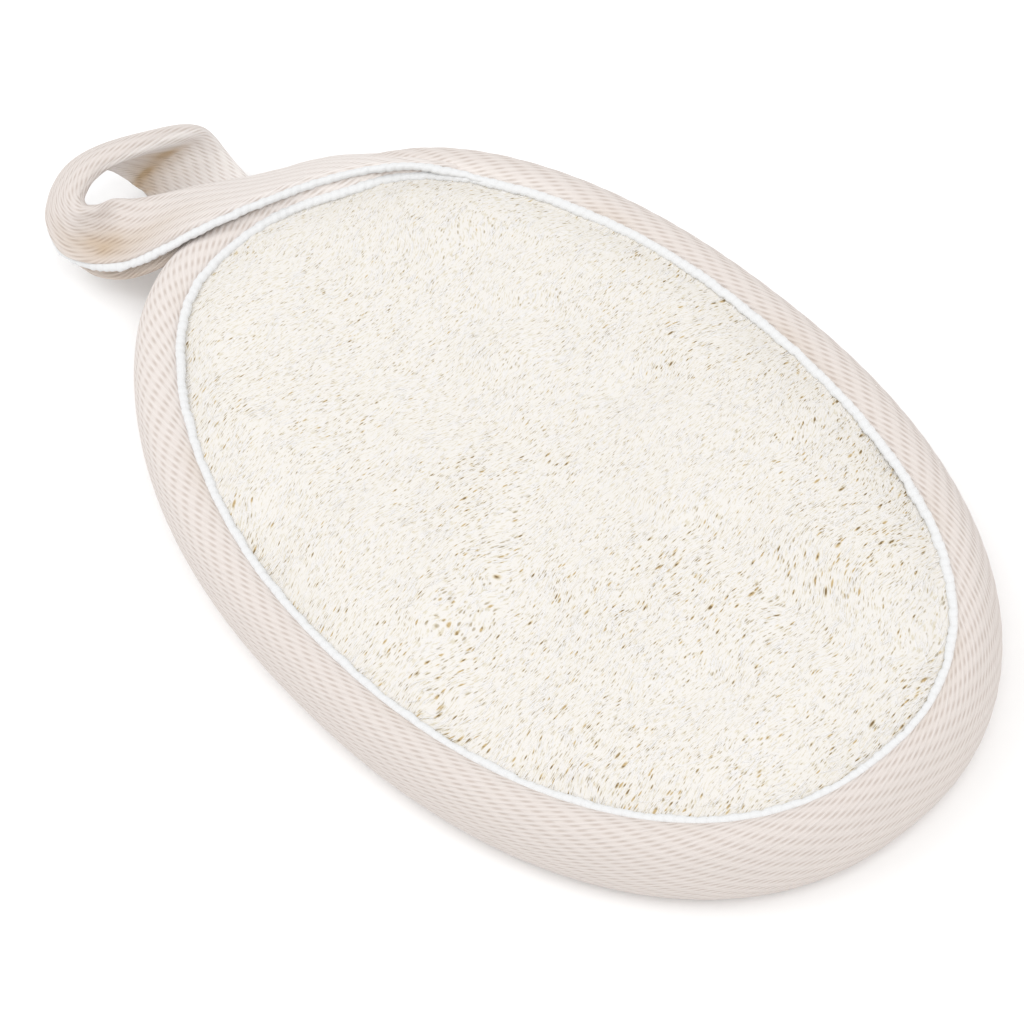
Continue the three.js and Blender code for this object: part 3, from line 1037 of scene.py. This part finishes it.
@dataclass
class LoofahMat:
    """The pad of pressed loofah: a body, and fibres that weave close over both its faces."""

    shape: PadShape
    finish: bpy.types.Material
    stations: int = 400
    rings: int = 58
    rim_inset: float = 6.5
    puff_height: float = 0.45
    puff_spread: float = 1.3
    back_lift: float = 0.14
    roughness: float = 0.03
    front_strands: int = 11400
    back_strands: int = 3600
    strand_reach: tuple = (74, 46)
    strand_points: int = 6
    strand_step: float = 0.85
    step_range: tuple = (0.45, 1.5)
    swing: float = 0.24
    curl: float = 0.12
    wave_range: tuple = (2.5, 6)
    wave_height: float = 0.045
    stray: float = 0.03
    end_dip: float = 0.1
    rim_dip: float = 0.2
    thickness: tuple = (0.09, 0.17)
    thinning: float = 0.75
    section: tuple = ((0, 0.36), (1, -0.2), (-1, -0.2))
    seed: int = 5

    def crowd(self, x: Array, y: Array, inward: Array) -> Array:
        """How much closer together the pits lie: near the edge, towards the far end and in patches.

        Args:
            x: Places along the pad.
            y: Places across it.
            inward: How far in from the edge they lie.

        Returns:
            What is added to a cell's draw at each place.
        """
        noise = SmoothNoise(self.seed + 9)
        patch = 14
        near_edge = 0.06 * np.exp(-np.maximum(inward - self.shape.loofah_inset, 0) / 8)
        far_end = 0.03 * x / 72
        return near_edge + far_end + 0.05 * noise(x / patch + 20, y / patch + 20)

    def puff(self, inward: Array) -> Array:
        """How far the mat swells up against the stitching."""
        return self.puff_height * np.exp(-np.maximum(inward - self.rim_inset, 0) / self.puff_spread)

    def body(self, grain: dict[Side, Grain]) -> Surface:
        """The closed body, by rings from the back's middle out, round the edge and over the front.

        Each ring is the outline moved in by an inset, or shrunk towards the middle by a scale.

        Args:
            grain: The grain of each face.

        Returns:
            The surface with its map and values.
        """
        shape = self.shape
        angle = np.linspace(0, TURN, self.stations, endpoint=False)
        scale = np.linspace(0.004, 1, self.rings) ** 0.8
        rim = shape.inset(shape.edge, angle, self.rim_inset + shape.drift(angle), 0)[:, :2]
        flat = scale[:, None, None] * rim[None]
        inward = shape.mat_depth(flat)
        x, y = flat[..., 0], flat[..., 1]
        rough = self.roughness * SmoothNoise(self.seed + 3, 256)(x / 1.3, y / 1.9)
        front = shape.front(x, y, inward) + rough + self.puff(inward)
        back = shape.back(inward) + self.back_lift - rough - self.puff(inward)
        lower = np.concatenate([flat, back[..., None]], axis=-1)
        upper = np.concatenate([flat, front[..., None]], axis=-1)
        high = shape.edge_height - shape.held_low
        held = [
            (shape.loofah_inset, shape.held_low), (shape.held_inset + shape.held_bevel, shape.held_low),
            (shape.held_inset, shape.held_low + 2 * shape.held_bevel),
            (shape.held_inset, high - 2 * shape.held_bevel),
            (shape.held_inset + shape.held_bevel, high), (shape.loofah_inset, high),
        ]
        sides = np.stack([shape.inset(shape.edge, angle, inset, height) for inset, height in held])
        rows = np.concatenate([lower, sides, upper[::-1]])
        front_map = grain[Side.FRONT].place(x, y)
        back_map = grain[Side.BACK].place(x, y)
        side_map = grain[Side.FRONT].place(sides[..., 0], sides[..., 1])
        mapped = np.concatenate([back_map, side_map, front_map[::-1]])
        crowd = self.crowd(rows[..., 0], rows[..., 1], shape.mat_depth(rows[..., :2]))
        # The body's lift of 0.8 paints it a little towards the shaded tan, as painted shade under the
        # fibres.
        return capped_loft(rows, mapped, tint=np.full(crowd.shape, 0.45), lift=np.full(crowd.shape, 0.8),
                           crowd=crowd)

    def walk(self, grain: Grain, start: Array, draws: np.random.Generator) -> tuple[Array, Array]:
        """Steps from each start along the grain, with each strand's own swing and curl.

        Args:
            grain: The face's grain.
            start: The strands' first points.
            draws: The strands' random draws.

        Returns:
            The flat points of each strand, pulled in where they leave the mat, and its step's length.
        """
        count = len(start)
        swing = draws.normal(0, self.swing, count)
        curl = draws.normal(0, self.curl, count)
        step = self.strand_step * draws.uniform(*self.step_range, count)
        way = draws.choice([-1.0, 1.0], count)
        place = start
        track = []
        for index in range(self.strand_points):
            track.append(place)
            angle = grain.angle(place[:, 0], place[:, 1]) + swing + curl * index
            place = place + (way * step)[:, None] * np.stack([np.cos(angle), np.sin(angle)], axis=-1)
        flat = np.stack(track, axis=1)
        outside = np.maximum(self.rim_inset - 0.5 - self.shape.mat_depth(flat), 0)
        return flat * (1 - 1.15 * outside / np.linalg.norm(flat, axis=-1))[..., None], step

    def tubes(self, line: Array, thick: Array, up: float) -> tuple[Array, Array, Array]:
        """Closed tubes of three sides, one round each strand's line.

        Args:
            line: The strands' points.
            thick: Each strand's thickness at each point.
            up: 1 on the front and -1 on the back.

        Returns:
            The points, the quads, and the end caps' triangles.
        """
        along = unit(np.gradient(line, axis=1))
        sideways = unit(np.cross(along, np.array([0, 0, up])))
        over = np.cross(sideways, along)
        rings = np.stack([
            line + thick[..., None] * (sideways * a + over * b) for a, b in self.section], axis=2)
        size = self.strand_points * 3
        quads = grid_faces(self.strand_points, 3, False, True)
        caps = np.array([[0, 2, 1], [size - 3, size - 2, size - 1]])
        shift = (np.arange(len(line)) * size)[:, None, None]
        return rings.reshape(-1, 3), (quads + shift).reshape(-1, 4), (caps + shift).reshape(-1, 3)

    def strands(self, side: Side, grain: Grain, count: int, seed: int, layer: float) -> Surface:
        """Fibres that follow the grain, weave up and down a little, and thin at their ends.

        A strand's height is the surface's, plus its layer's, plus a sine of its length. Its section
        is a flat triangle.

        Args:
            side: The face that they lie on.
            grain: That face's grain.
            count: How many strands there are.
            seed: The draws' seed.
            layer: How high the strands' middle line lies over the surface.

        Returns:
            The strands as one surface of closed tubes.
        """
        draws = np.random.default_rng(seed)
        shape = self.shape
        reach = np.array(self.strand_reach)
        start = draws.uniform(-reach, reach, (count * 2, 2))
        start = start[shape.mat_depth(start) > self.rim_inset][:count]
        count = len(start)
        flat, step = self.walk(grain, start, draws)
        inward = shape.mat_depth(flat)
        run = np.arange(self.strand_points)[None, :] * step[:, None]
        phase = draws.uniform(0, TURN, count)[:, None]
        wave = draws.uniform(*self.wave_range, count)[:, None]
        weave = self.wave_height * np.sin(TURN * run / wave + phase)
        part = np.linspace(0, 1, self.strand_points)[None, :]
        ends = 1 - smoothstep(part, 0, 0.25) * (1 - smoothstep(part, 0.75, 1))
        rim = smoothstep(inward, self.rim_inset - 0.4, self.rim_inset + 0.1)
        stray = draws.uniform(-self.stray, self.stray, count)[:, None]
        lifted = layer + weave + stray - self.end_dip * ends - self.rim_dip * (1 - rim)
        front = side is Side.FRONT
        base = shape.front(flat[..., 0], flat[..., 1], inward) if front else shape.back(inward)
        base = base + side.value * self.puff(inward)
        height = base + (lifted if front else np.maximum(0.1 - lifted, 0.12 - base))
        thick = draws.uniform(*self.thickness, count)[:, None] * (1 - self.thinning * ends)
        line = np.concatenate([flat, height[..., None]], axis=-1)
        points, quads, caps = self.tubes(line, thick * np.maximum(rim, 0.05), float(side.value))
        values = {
            "tint": np.repeat(np.clip(draws.normal(0.62, 0.24, count), 0, 1), self.strand_points * 3),
            # Lift paints shade: fibres that lie lower, and their dipped ends, are mixed towards the shaded
            # tan.
            "lift": np.clip(0.93 + 0.7 * np.repeat(lifted, 3, axis=1), 0, 1).ravel(),
            "crowd": self.crowd(points[:, 0], points[:, 1], np.repeat(inward, 3, axis=1).ravel()),
        }
        mapped = grain.place(points[:, 0], points[:, 1])
        return turned_out(Surface(points, quads, caps, mapped, values, smooth=False))

    def build(self) -> list[bpy.types.Object]:
        """Makes the body and the mats of fibres.

        Returns:
            The new pieces.
        """
        grain = {Side.FRONT: Grain(self.seed), Side.BACK: Grain(self.seed + 40)}
        made = [self.body(grain).make("loofah_body", self.finish)]
        plan = [
            ("loofah_fibres_front_low", Side.FRONT, self.front_strands // 3, 21, -0.03),
            ("loofah_fibres_front_mid", Side.FRONT, self.front_strands // 3, 22, -0.01),
            ("loofah_fibres_front_top", Side.FRONT, self.front_strands // 3, 23, 0.01),
            ("loofah_fibres_back_low", Side.BACK, self.back_strands // 2, 31, -0.03),
            ("loofah_fibres_back_top", Side.BACK, self.back_strands // 2, 32, 0.0),
        ]
        for name, side, count, seed, layer in plan:
            made.append(self.strands(side, grain[side], count, seed, layer).make(name, self.finish))
        return made


@dataclass
class EdgeTape:
    """The cotton twill tape folded round the pad's edge."""

    shape: PadShape
    finish: bpy.types.Material
    weave: Twill = Twill()
    thickness: float = 1.4
    stations: int = 800
    across: int = 76
    inner: int = 8
    end_angle: float = 116
    end_taper: float = 12
    end_sink: float = 0.35
    flank_angle: float = 50
    row_angle: float = 78
    # How brown the tape is at least, and how much browner it gets in patches near the row.
    browning: tuple = (0.04, 0.22)
    patch_size: float = 9
    # Where painted light makes the tape paler: by the strap and by the loop.
    pale_by_strap: tuple = (148, 28)
    pale_by_loop: tuple = (205, 50)
    pale_share: float = 0.22
    seed: int = 17

    def numbers(self, angle: Array, degrees: Array, outer: Array) -> tuple[Array, Array]:
        """The ribs' and yarns' numbers, stretched a little so that whole ones meet the tape's start.

        Args:
            angle: Angles round the pad.
            degrees: Angles round the tape's whole section.
            outer: Those of its outer face.

        Returns:
            The numbers at each point, and how many ribs and yarns go once round.
        """
        edge = self.shape.edge(angle)
        step = np.linalg.norm(np.roll(edge, -1, 0) - edge, axis=1)
        along = np.concatenate([[0], np.cumsum(step)[:-1]])
        inset, height = self.shape.tape_section(outer, np.zeros(self.across))
        way = np.hypot(np.gradient(inset), np.gradient(height))
        across = np.interp(degrees, outer, np.cumsum(way) - way[0])
        turn = self.weave.numbers(step.sum(), 0.0)
        whole = np.round(turn)
        numbers = self.weave.numbers(along[:, None], across[None, :])
        return numbers + (whole - turn) * (along / step.sum())[:, None, None], whole

    def marks(self, rows: Array, angle: Array, degrees: Array) -> dict[str, Array]:
        """Where the tape is browner, in patches by its row, and where painted light makes it paler, by the
        strap and, less, by the loop.

        Args:
            rows: The tape's points.
            angle: Angles round the pad.
            degrees: Angles round the tape's section.

        Returns:
            The browning and the painted light at each point.
        """
        near_row = smoothstep(np.abs(degrees), self.row_angle, self.end_angle)
        x, y = rows[..., 0] / self.patch_size, rows[..., 1] / self.patch_size
        patches = np.maximum(SmoothNoise(self.seed)(x + 20, y + 20), 0)
        least, more = self.browning
        browning = least + more * patches * near_row[None, :]
        place = np.degrees(angle)
        by_strap = bell(place, *self.pale_by_strap)[:, None] * (near_row * (degrees > 0))[None, :]
        by_loop = self.pale_share * bell(place, *self.pale_by_loop)[:, None]
        return {"browning": browning.ravel(), "painted_light": np.maximum(by_strap, by_loop).ravel()}

    def build(self) -> bpy.types.Object:
        """Carries the C section round the pad, its outer face ribbed and its edges rounded.

        Returns:
            The new piece.
        """
        shape = self.shape
        angle = np.linspace(0, TURN, self.stations, endpoint=False)
        outer = np.linspace(-self.end_angle, self.end_angle, self.across)
        degrees = np.concatenate([outer, np.linspace(self.end_angle, -self.end_angle, self.inner)])
        bottom = np.zeros(self.inner)
        depth = np.concatenate([np.zeros(self.across), bottom + self.thickness])
        numbers, whole = self.numbers(angle, degrees, outer)
        from_end = smoothstep((self.end_angle - np.abs(outer)) / self.end_taper, 0, 1)
        keep = np.concatenate([from_end, bottom])
        bare = np.concatenate([self.end_sink * (1 - from_end) ** 2, bottom])
        sink = self.weave.sink(numbers) * keep[None, :] + bare[None, :]
        inset, height = shape.tape_section(degrees[None, :] + np.zeros_like(sink), depth[None, :] + sink)
        flank = smoothstep(np.abs(degrees), self.flank_angle, self.end_angle)
        inset = inset + shape.drift(angle)[:, None] * flank[None, :]
        rows = shape.inset(shape.edge, angle[:, None], inset, height)
        quads = grid_faces(self.stations, len(degrees), True, True)
        surface = Surface(rows.reshape(-1, 3), quads, uv=numbers.reshape(-1, 2),
                          values=self.marks(rows, angle, degrees), uv_turn=tuple(whole))
        return turned_out(surface).make("edge_binding", self.finish)


@dataclass
class HangingLoop:
    """The strap that the tape's end makes, folded in two layers and turned into a loop."""

    route: StrapRoute
    finish: bpy.types.Material
    weave: Twill = Twill()
    stations: int = 400
    across: int = 40
    row_gap: float = 0.3
    # Where the painted warm shade lies, along and across the strap:
    far_shade: tuple = (0.722, 0.05)
    far_slant: float = 0.07
    brink_shade: tuple = (0.83, 0.06)
    near_shade: tuple = (0.37, 0.085)
    near_across: tuple = (0.72, 0.25)
    under_shade: tuple = (0.33, 0.11)
    longer: tuple = (0.39, 0.085)
    longer_by: float = 2.5
    fuller: tuple = (0.69, 0.055)
    fuller_across: tuple = (0.3, 0.35)
    fuller_by: float = 0.9
    seed: int = 23

    def section(self) -> tuple[Array, Array]:
        """The folded section: an outer layer, a lip, an open slit, and an under layer.

        Returns:
            How far from the fold each point lies, from 0 to 1, and which face it is on, from -1 to 1.
        """
        bend = np.linspace(0, 1, 10)
        fold_part = 0.14 * (1 - np.cos(bend * math.pi / 2))
        fold_side = np.sin(bend * math.pi / 2)
        flat = np.linspace(0.14, 0.97, self.across)[1:]
        lip = np.array([(0.99, 0.92), (1.0, 0.7), (1.0, 0.35), (0.985, 0.12)])
        slit = np.array([(0.9, 0.03), (0.8, 0.0), (0.9, -0.03)])
        upper_part = np.concatenate([fold_part, flat, lip[:, 0]])
        upper_side = np.concatenate([fold_side, np.ones(len(flat)), lip[:, 1]])
        part = np.concatenate([upper_part, slit[:, 0], upper_part[:0:-1]])
        side = np.concatenate([upper_side, slit[:, 1], -upper_side[:0:-1]])
        return part, side

    def painted_warm_shade(self, place: Array, part: Array, side: Array) -> Array:
        """Painted warm shade, ochre: inside the far run and at its lip, on the under layer, and along the
        open edge of the near run.

        Args:
            place: Places along the strap.
            part: Places across it.
            side: The face of each point.

        Returns:
            The painted shade's strength at each point of the grid.
        """
        noise = SmoothNoise(self.seed)(place[:, None] * 38 + 5, part[None, :] * 5 + 5)
        patchy = 0.95 + 0.35 * noise
        along, across = place[:, None], part[None, :]
        upper, under = (side > 0)[None, :], (side < 0)[None, :]
        # Painted warm shade inside the far run and at its lip, on the under layer, and above the near
        # run's open edge.
        middle, spread = self.far_shade
        far = bell(along, middle + self.far_slant * (across - 0.4), spread) * smoothstep(across, 0.1, 0.4)
        brink = bell(along, *self.brink_shade) * smoothstep(across, 0.7, 1.0)
        near = bell(along, *self.near_shade) * bell(across, *self.near_across)
        below = bell(along, *self.under_shade) * smoothstep(across, 0.55, 0.9)
        strength = (far + 0.55 * brink + 0.35 * below) * under + 0.65 * near * upper
        return np.clip(0.03 + patchy * strength, 0, 1)

    def painted_light_share(self, place: Array, side: Array) -> Array:
        """Where painted light makes the cotton paler: inside the far run, where it lies in shade, and on
        the front close to the pad.

        Args:
            place: Places along the strap.
            side: The face of each point.

        Returns:
            The painted light at each point of the grid.
        """
        inside = smoothstep(place, 0.56, 0.68)[:, None] * (side < 0)[None, :]
        by_pad = smoothstep(place, 0.0, 0.08) * smoothstep(-place, -0.32, -0.2)
        return np.maximum(inside, 0.6 * by_pad[:, None] * (side > 0)[None, :])

    def build(self) -> bpy.types.Object:
        """Lofts the section along the strap's route.

        The under layer gapes and reaches past the upper one at the near run, and is fuller at the
        arch. The map's way across is the true length round the section.

        Returns:
            The new piece.
        """
        place = np.linspace(0, 1, self.stations)
        frames = self.route.frames(place)
        width = np.linalg.norm(frames["stitch"] - frames["fold"], axis=1) - self.row_gap
        half = self.route.thickness / 2 * (0.5 + 0.5 * smoothstep(place, 0, 0.2))
        part, side = self.section()
        under = side < -0.02
        longer = self.longer_by * bell(place, *self.longer)
        fuller = self.fuller_by * bell(place, *self.fuller)
        way = part[None, :] * (width[:, None] + longer[:, None] * under[None, :] * part[None, :] ** 3)
        padding = fuller[:, None] * (under * bell(part, *self.fuller_across))[None, :]
        opened = 0.5 * under[None, :] * frames["gape"][:, None] * part[None, :] ** 2
        belly = frames["bulge"][:, None] * 4 * part[None, :] * (1 - part[None, :])
        lift = side[None, :] * half[:, None] + belly - opened - padding
        across, outward = frames["across"][:, None, :], frames["outward"][:, None, :]
        smooth = frames["fold"][:, None, :] + across * way[..., None] + outward * lift[..., None]
        length = np.cumsum(np.linalg.norm(np.diff(smooth, axis=1, prepend=smooth[:, :1]), axis=2), axis=1)
        middle = (frames["fold"] + frames["stitch"]) / 2
        run = np.concatenate([[0], np.cumsum(np.linalg.norm(np.diff(middle, axis=0), axis=1))])
        round_way = np.where(under[None, :], length - length[:, -1:] - half[:, None] * 0.4, length)
        numbers = self.weave.numbers(run[:, None], round_way)
        drop = self.weave.sink(numbers) * smoothstep(np.abs(side), 0.3, 1.0)
        rows = smooth - outward * (np.sign(side)[None, :] * drop)[..., None]
        # The marks are painted warm shade and painted light.
        marks = {"browning": self.painted_warm_shade(place, part, side), "painted_light": self.painted_light_share(place, side)}
        return capped_loft(rows, numbers, **marks).make("hanging_loop", self.finish)


@dataclass
class Stitching:
    """Raised white stitches that lie close together in a row."""

    finish: bpy.types.Material
    ring_radius: float = 0.97
    strap_radius: float = 0.93
    strap_lift: float = 0.3
    ring_inset: float = 6.15
    ring_height: float = 13.8
    flatness: float = 0.7
    pitch: float = 1.4
    sides: int = 10
    per_stitch: int = 7
    bare_share: float = 0.82
    swell_share: float = 0.18
    lean: float = 0.25
    stray: float = 0.09
    ring_points: int = 720
    thin_share: float = 0.9
    thick_side: tuple = (150, 60)
    climb: tuple = ((125, 7.45, 13.7), (129, 7.6, 13.95), (133, 7.65, 14.3), (137, 7.6, 14.7))
    strap_span: tuple = (0.0667, 0.945)
    strap_points: int = 420
    start_radius: float = 0.5
    seed: int = 41

    def spaced(self, values: Array, source: Array, spot: Array, closed: bool) -> Array:
        """Reads a row's values at even steps along it.

        Args:
            values: One or more numbers for each point of the row.
            source: How far along the row each of its points lies.
            spot: How far along the row the wanted places lie.
            closed: Whether the row meets its own start.

        Returns:
            The numbers at each place.
        """
        ring = np.concatenate([values, values[:1]]) if closed else values
        return np.stack([np.interp(spot, source, column) for column in ring.T], axis=-1)

    def bead(self, path: Array, up: Array, radius: Array, closed: bool) -> Surface:
        """A tube whose radius swells at each stitch and whose swell leans along the row.

        Args:
            path: The middle line's points, close together.
            up: The direction away from the cloth at each point.
            radius: The row's radius at each point.
            closed: Whether the row meets its own start.

        Returns:
            The surface with its rib value.
        """
        ahead = np.roll(path, -1, 0) if closed else np.concatenate([path[1:], path[-1:]])
        step = np.linalg.norm(ahead - path, axis=1)
        run = np.concatenate([[0], np.cumsum(step)[:-1]])
        whole = step.sum()
        count = max(1, round(whole / self.pitch))
        total = count * self.per_stitch
        spot = np.linspace(0, whole, total, endpoint=not closed)
        source = np.concatenate([run, [whole]]) if closed else run
        line = self.spaced(path, source, spot, closed)
        rise = unit(self.spaced(up, source, spot, closed))
        thick = self.spaced(radius[:, None], source, spot, closed)
        if closed:
            tangent = unit(np.roll(line, -1, 0) - np.roll(line, 1, 0))
        else:
            tangent = unit(np.gradient(line, axis=0))
        across = unit(np.cross(tangent, rise))
        rise = np.cross(across, tangent)
        turn = np.linspace(0, TURN, self.sides, endpoint=False)
        phase = spot[:, None] * count / whole + self.lean * np.sin(turn)[None, :]
        swell = np.abs(np.sin(math.pi * phase))
        draws = np.random.default_rng(self.seed)
        own = draws.uniform(0.2, 1.3, count)[np.floor(phase).astype(int) % count]
        size = thick * (self.bare_share + self.swell_share * own * swell ** 0.8)
        wobble = np.interp(spot, np.linspace(0, whole, count + 1), draws.normal(0, self.stray, count + 1))
        line = line + across * wobble[:, None]
        rows = (
            line[:, None, :]
            + across[:, None, :] * (size * np.cos(turn))[..., None]
            + rise[:, None, :] * (self.flatness * size * np.sin(turn))[..., None]
        )
        if closed:
            quads = grid_faces(total, self.sides, True, True)
            return turned_out(Surface(rows.reshape(-1, 3), quads, values={"rib": swell.ravel()}))
        return capped_loft(rows, None, rib=swell)

    def ring(self, shape: PadShape, inset: float, height: float, up: float) -> Surface:
        """The row that goes once round the pad along the tape's inner edge.

        Args:
            shape: The pad's shape.
            inset: How far in from the edge the row lies.
            height: How high it lies.
            up: 1 on the front and -1 on the back.

        Returns:
            The row's surface.
        """
        angle = np.linspace(0, TURN, self.ring_points, endpoint=False)
        path = shape.inset(shape.edge, angle, inset + shape.drift(angle), height)
        rise = np.tile([0.0, 0.0, up], (len(path), 1))
        by_strap = bell(np.degrees(angle), *self.thick_side)
        share = self.thin_share + (1 - self.thin_share) * by_strap
        return self.bead(path, rise, self.ring_radius * share, True)

    def strap_row(self, shape: PadShape, route: StrapRoute) -> Surface:
        """The row that climbs over the tape's start and follows the strap's open edge.

        Args:
            shape: The pad's shape.
            route: The strap's route.

        Returns:
            The row's surface.
        """
        degrees, inset, height = np.array(self.climb).T
        lead = shape.inset(shape.edge, np.radians(degrees), inset, height)
        frames = route.stitch_line(np.linspace(*self.strap_span, 260)[::13])
        outward = frames["outward"]
        place = np.linspace(0, 1, self.strap_points)
        path, _ = spline(np.concatenate([lead, frames["stitch"] + self.strap_lift * outward]), place, True)
        up = np.concatenate([np.tile([0.0, 0.0, 1.0], (len(lead), 1)), outward])
        rise, _ = spline(up, place, False)
        thicker = smoothstep(place, 0.06, 0.18)
        radius = self.start_radius + (self.strap_radius - self.start_radius) * thicker
        return self.bead(path, unit(rise), radius, False)

    def build(self, shape: PadShape, route: StrapRoute) -> list[bpy.types.Object]:
        """Makes the front's rows and the back's.

        Args:
            shape: The pad's shape.
            route: The strap's route.

        Returns:
            The two new pieces.
        """
        front = self.ring(shape, self.ring_inset, self.ring_height, 1).join(self.strap_row(shape, route))
        back = self.ring(shape, self.ring_inset, shape.edge_height - self.ring_height, -1)
        return [
            front.make("stitching_front_row", self.finish),
            back.make("stitching_back_row", self.finish),
        ]


# The studio


@dataclass(frozen=True)
class SoftLight:
    """A square soft light that looks at the pad, placed in metres."""

    name: str
    place: tuple[float, float, float]
    size: float
    watts: float

    def make(self) -> None:
        """Adds the light to the scene."""
        data = bpy.data.lights.new(self.name, "AREA")
        data.size = self.size
        data.energy = self.watts
        made = bpy.data.objects.new(self.name, data)
        made.location = self.place
        made.rotation_mode = "QUATERNION"
        made.rotation_quaternion = (-Vector(self.place)).to_track_quat("-Z", "Y")
        bpy.context.scene.collection.objects.link(made)


@dataclass(frozen=True)
class Studio:
    """A pale floor, soft light and the camera."""

    azimuth: float = 61.17
    elevation: float = 52.80
    roll: float = -13.70
    distance: float = 450
    target: tuple = (-0.90, -5.46, 7.5)
    focal_pixels: float = 3157.4
    picture_width: float = 1024
    sensor: float = 36
    clip: tuple[float, float] = (0.01, 20)
    floor_half: float = 3000.0
    floor_colour: Colour = (0.98, 0.98, 0.98)
    floor_roughness: float = 0.9
    surround: float = 0.80
    lights: tuple = (
        SoftLight("key", (-0.5, -0.35, 0.9), 0.7, 3.0),
        SoftLight("front_fill", (0.57, -0.09, 1.02), 0.8, 4.6),
    )

    def camera(self) -> bpy.types.Object:
        """Places the camera on a sphere round the target and turns it about its own axis.

        Returns:
            The camera.
        """
        a, e, r = (math.radians(v) for v in (self.azimuth, self.elevation, self.roll))
        back = Vector((math.sin(a) * math.cos(e), -math.cos(a) * math.cos(e), math.sin(e)))
        right = (-back).cross(Vector((0, 0, 1))).normalized()
        up = right.cross(-back)
        turned_right = right * math.cos(r) + up * math.sin(r)
        turned_up = up * math.cos(r) - right * math.sin(r)
        data = bpy.data.cameras.new("camera")
        data.lens = self.focal_pixels / self.picture_width * self.sensor
        data.sensor_width = self.sensor
        data.clip_start, data.clip_end = self.clip
        made = bpy.data.objects.new("camera", data)
        turn = Matrix((turned_right, turned_up, back)).transposed().to_4x4()
        spot = (Vector(self.target) + back * self.distance) * MM
        made.matrix_world = Matrix.Translation(spot) @ turn
        bpy.context.scene.collection.objects.link(made)
        bpy.context.scene.camera = made
        return made

    def floor(self) -> bpy.types.Object:
        """Makes the floor that the pad lies on.

        Returns:
            The floor.
        """
        half = self.floor_half
        corners = np.array([[-half, -half, 0], [half, -half, 0], [half, half, 0], [-half, half, 0]])
        nodes = Nodes("pale_floor")
        nodes.shader.inputs["Base Color"].default_value = (*self.floor_colour, 1)
        nodes.shader.inputs["Roughness"].default_value = self.floor_roughness
        nodes.shader.inputs["Specular IOR Level"].default_value = 0.0
        made = Surface(corners, np.array([[0, 1, 2, 3]])).make("floor", nodes.material)
        return made

    def light(self) -> None:
        """Sets the even white surround and two soft lights."""
        world = bpy.data.worlds.new("studio")
        world.use_nodes = True
        background = world.node_tree.nodes["Background"]
        background.inputs["Color"].default_value = (*WHITE, 1)
        background.inputs["Strength"].default_value = self.surround
        bpy.context.scene.world = world
        bpy.context.scene.view_settings.view_transform = "Standard"
        for light in self.lights:
            light.make()


def ride(pieces: list[bpy.types.Object], node: str) -> None:
    """Puts pieces on the part's one body, in a node's place.

    Args:
        pieces: The pieces.
        node: The node that they stand for.
    """
    for piece in pieces:
        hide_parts(node)
        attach(piece, "root")
        LOG.info("%s: %d faces", piece.name, len(piece.data.polygons))


def main() -> None:
    """Builds the studio and every piece."""
    logging.basicConfig(level=logging.INFO, format="%(name)s: %(message)s")
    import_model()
    studio = Studio()
    studio.camera()
    studio.floor()
    studio.light()
    shape = PadShape()
    route = StrapRoute(shape)
    loofah = LoofahFinish().make("loofah_fibre")
    twill = TwillFinish().make("cotton_twill")
    thread = ThreadFinish().make("white_thread")
    ride(LoofahMat(shape, loofah).build(), "loofah_pad")
    ride([EdgeTape(shape, twill).build(), HangingLoop(route, twill).build()], "edge_tape")
    front, back = Stitching(thread).build(shape, route)
    ride([front], "stitching_front")
    ride([back], "stitching_back")


if __name__ == "__main__":
    main()
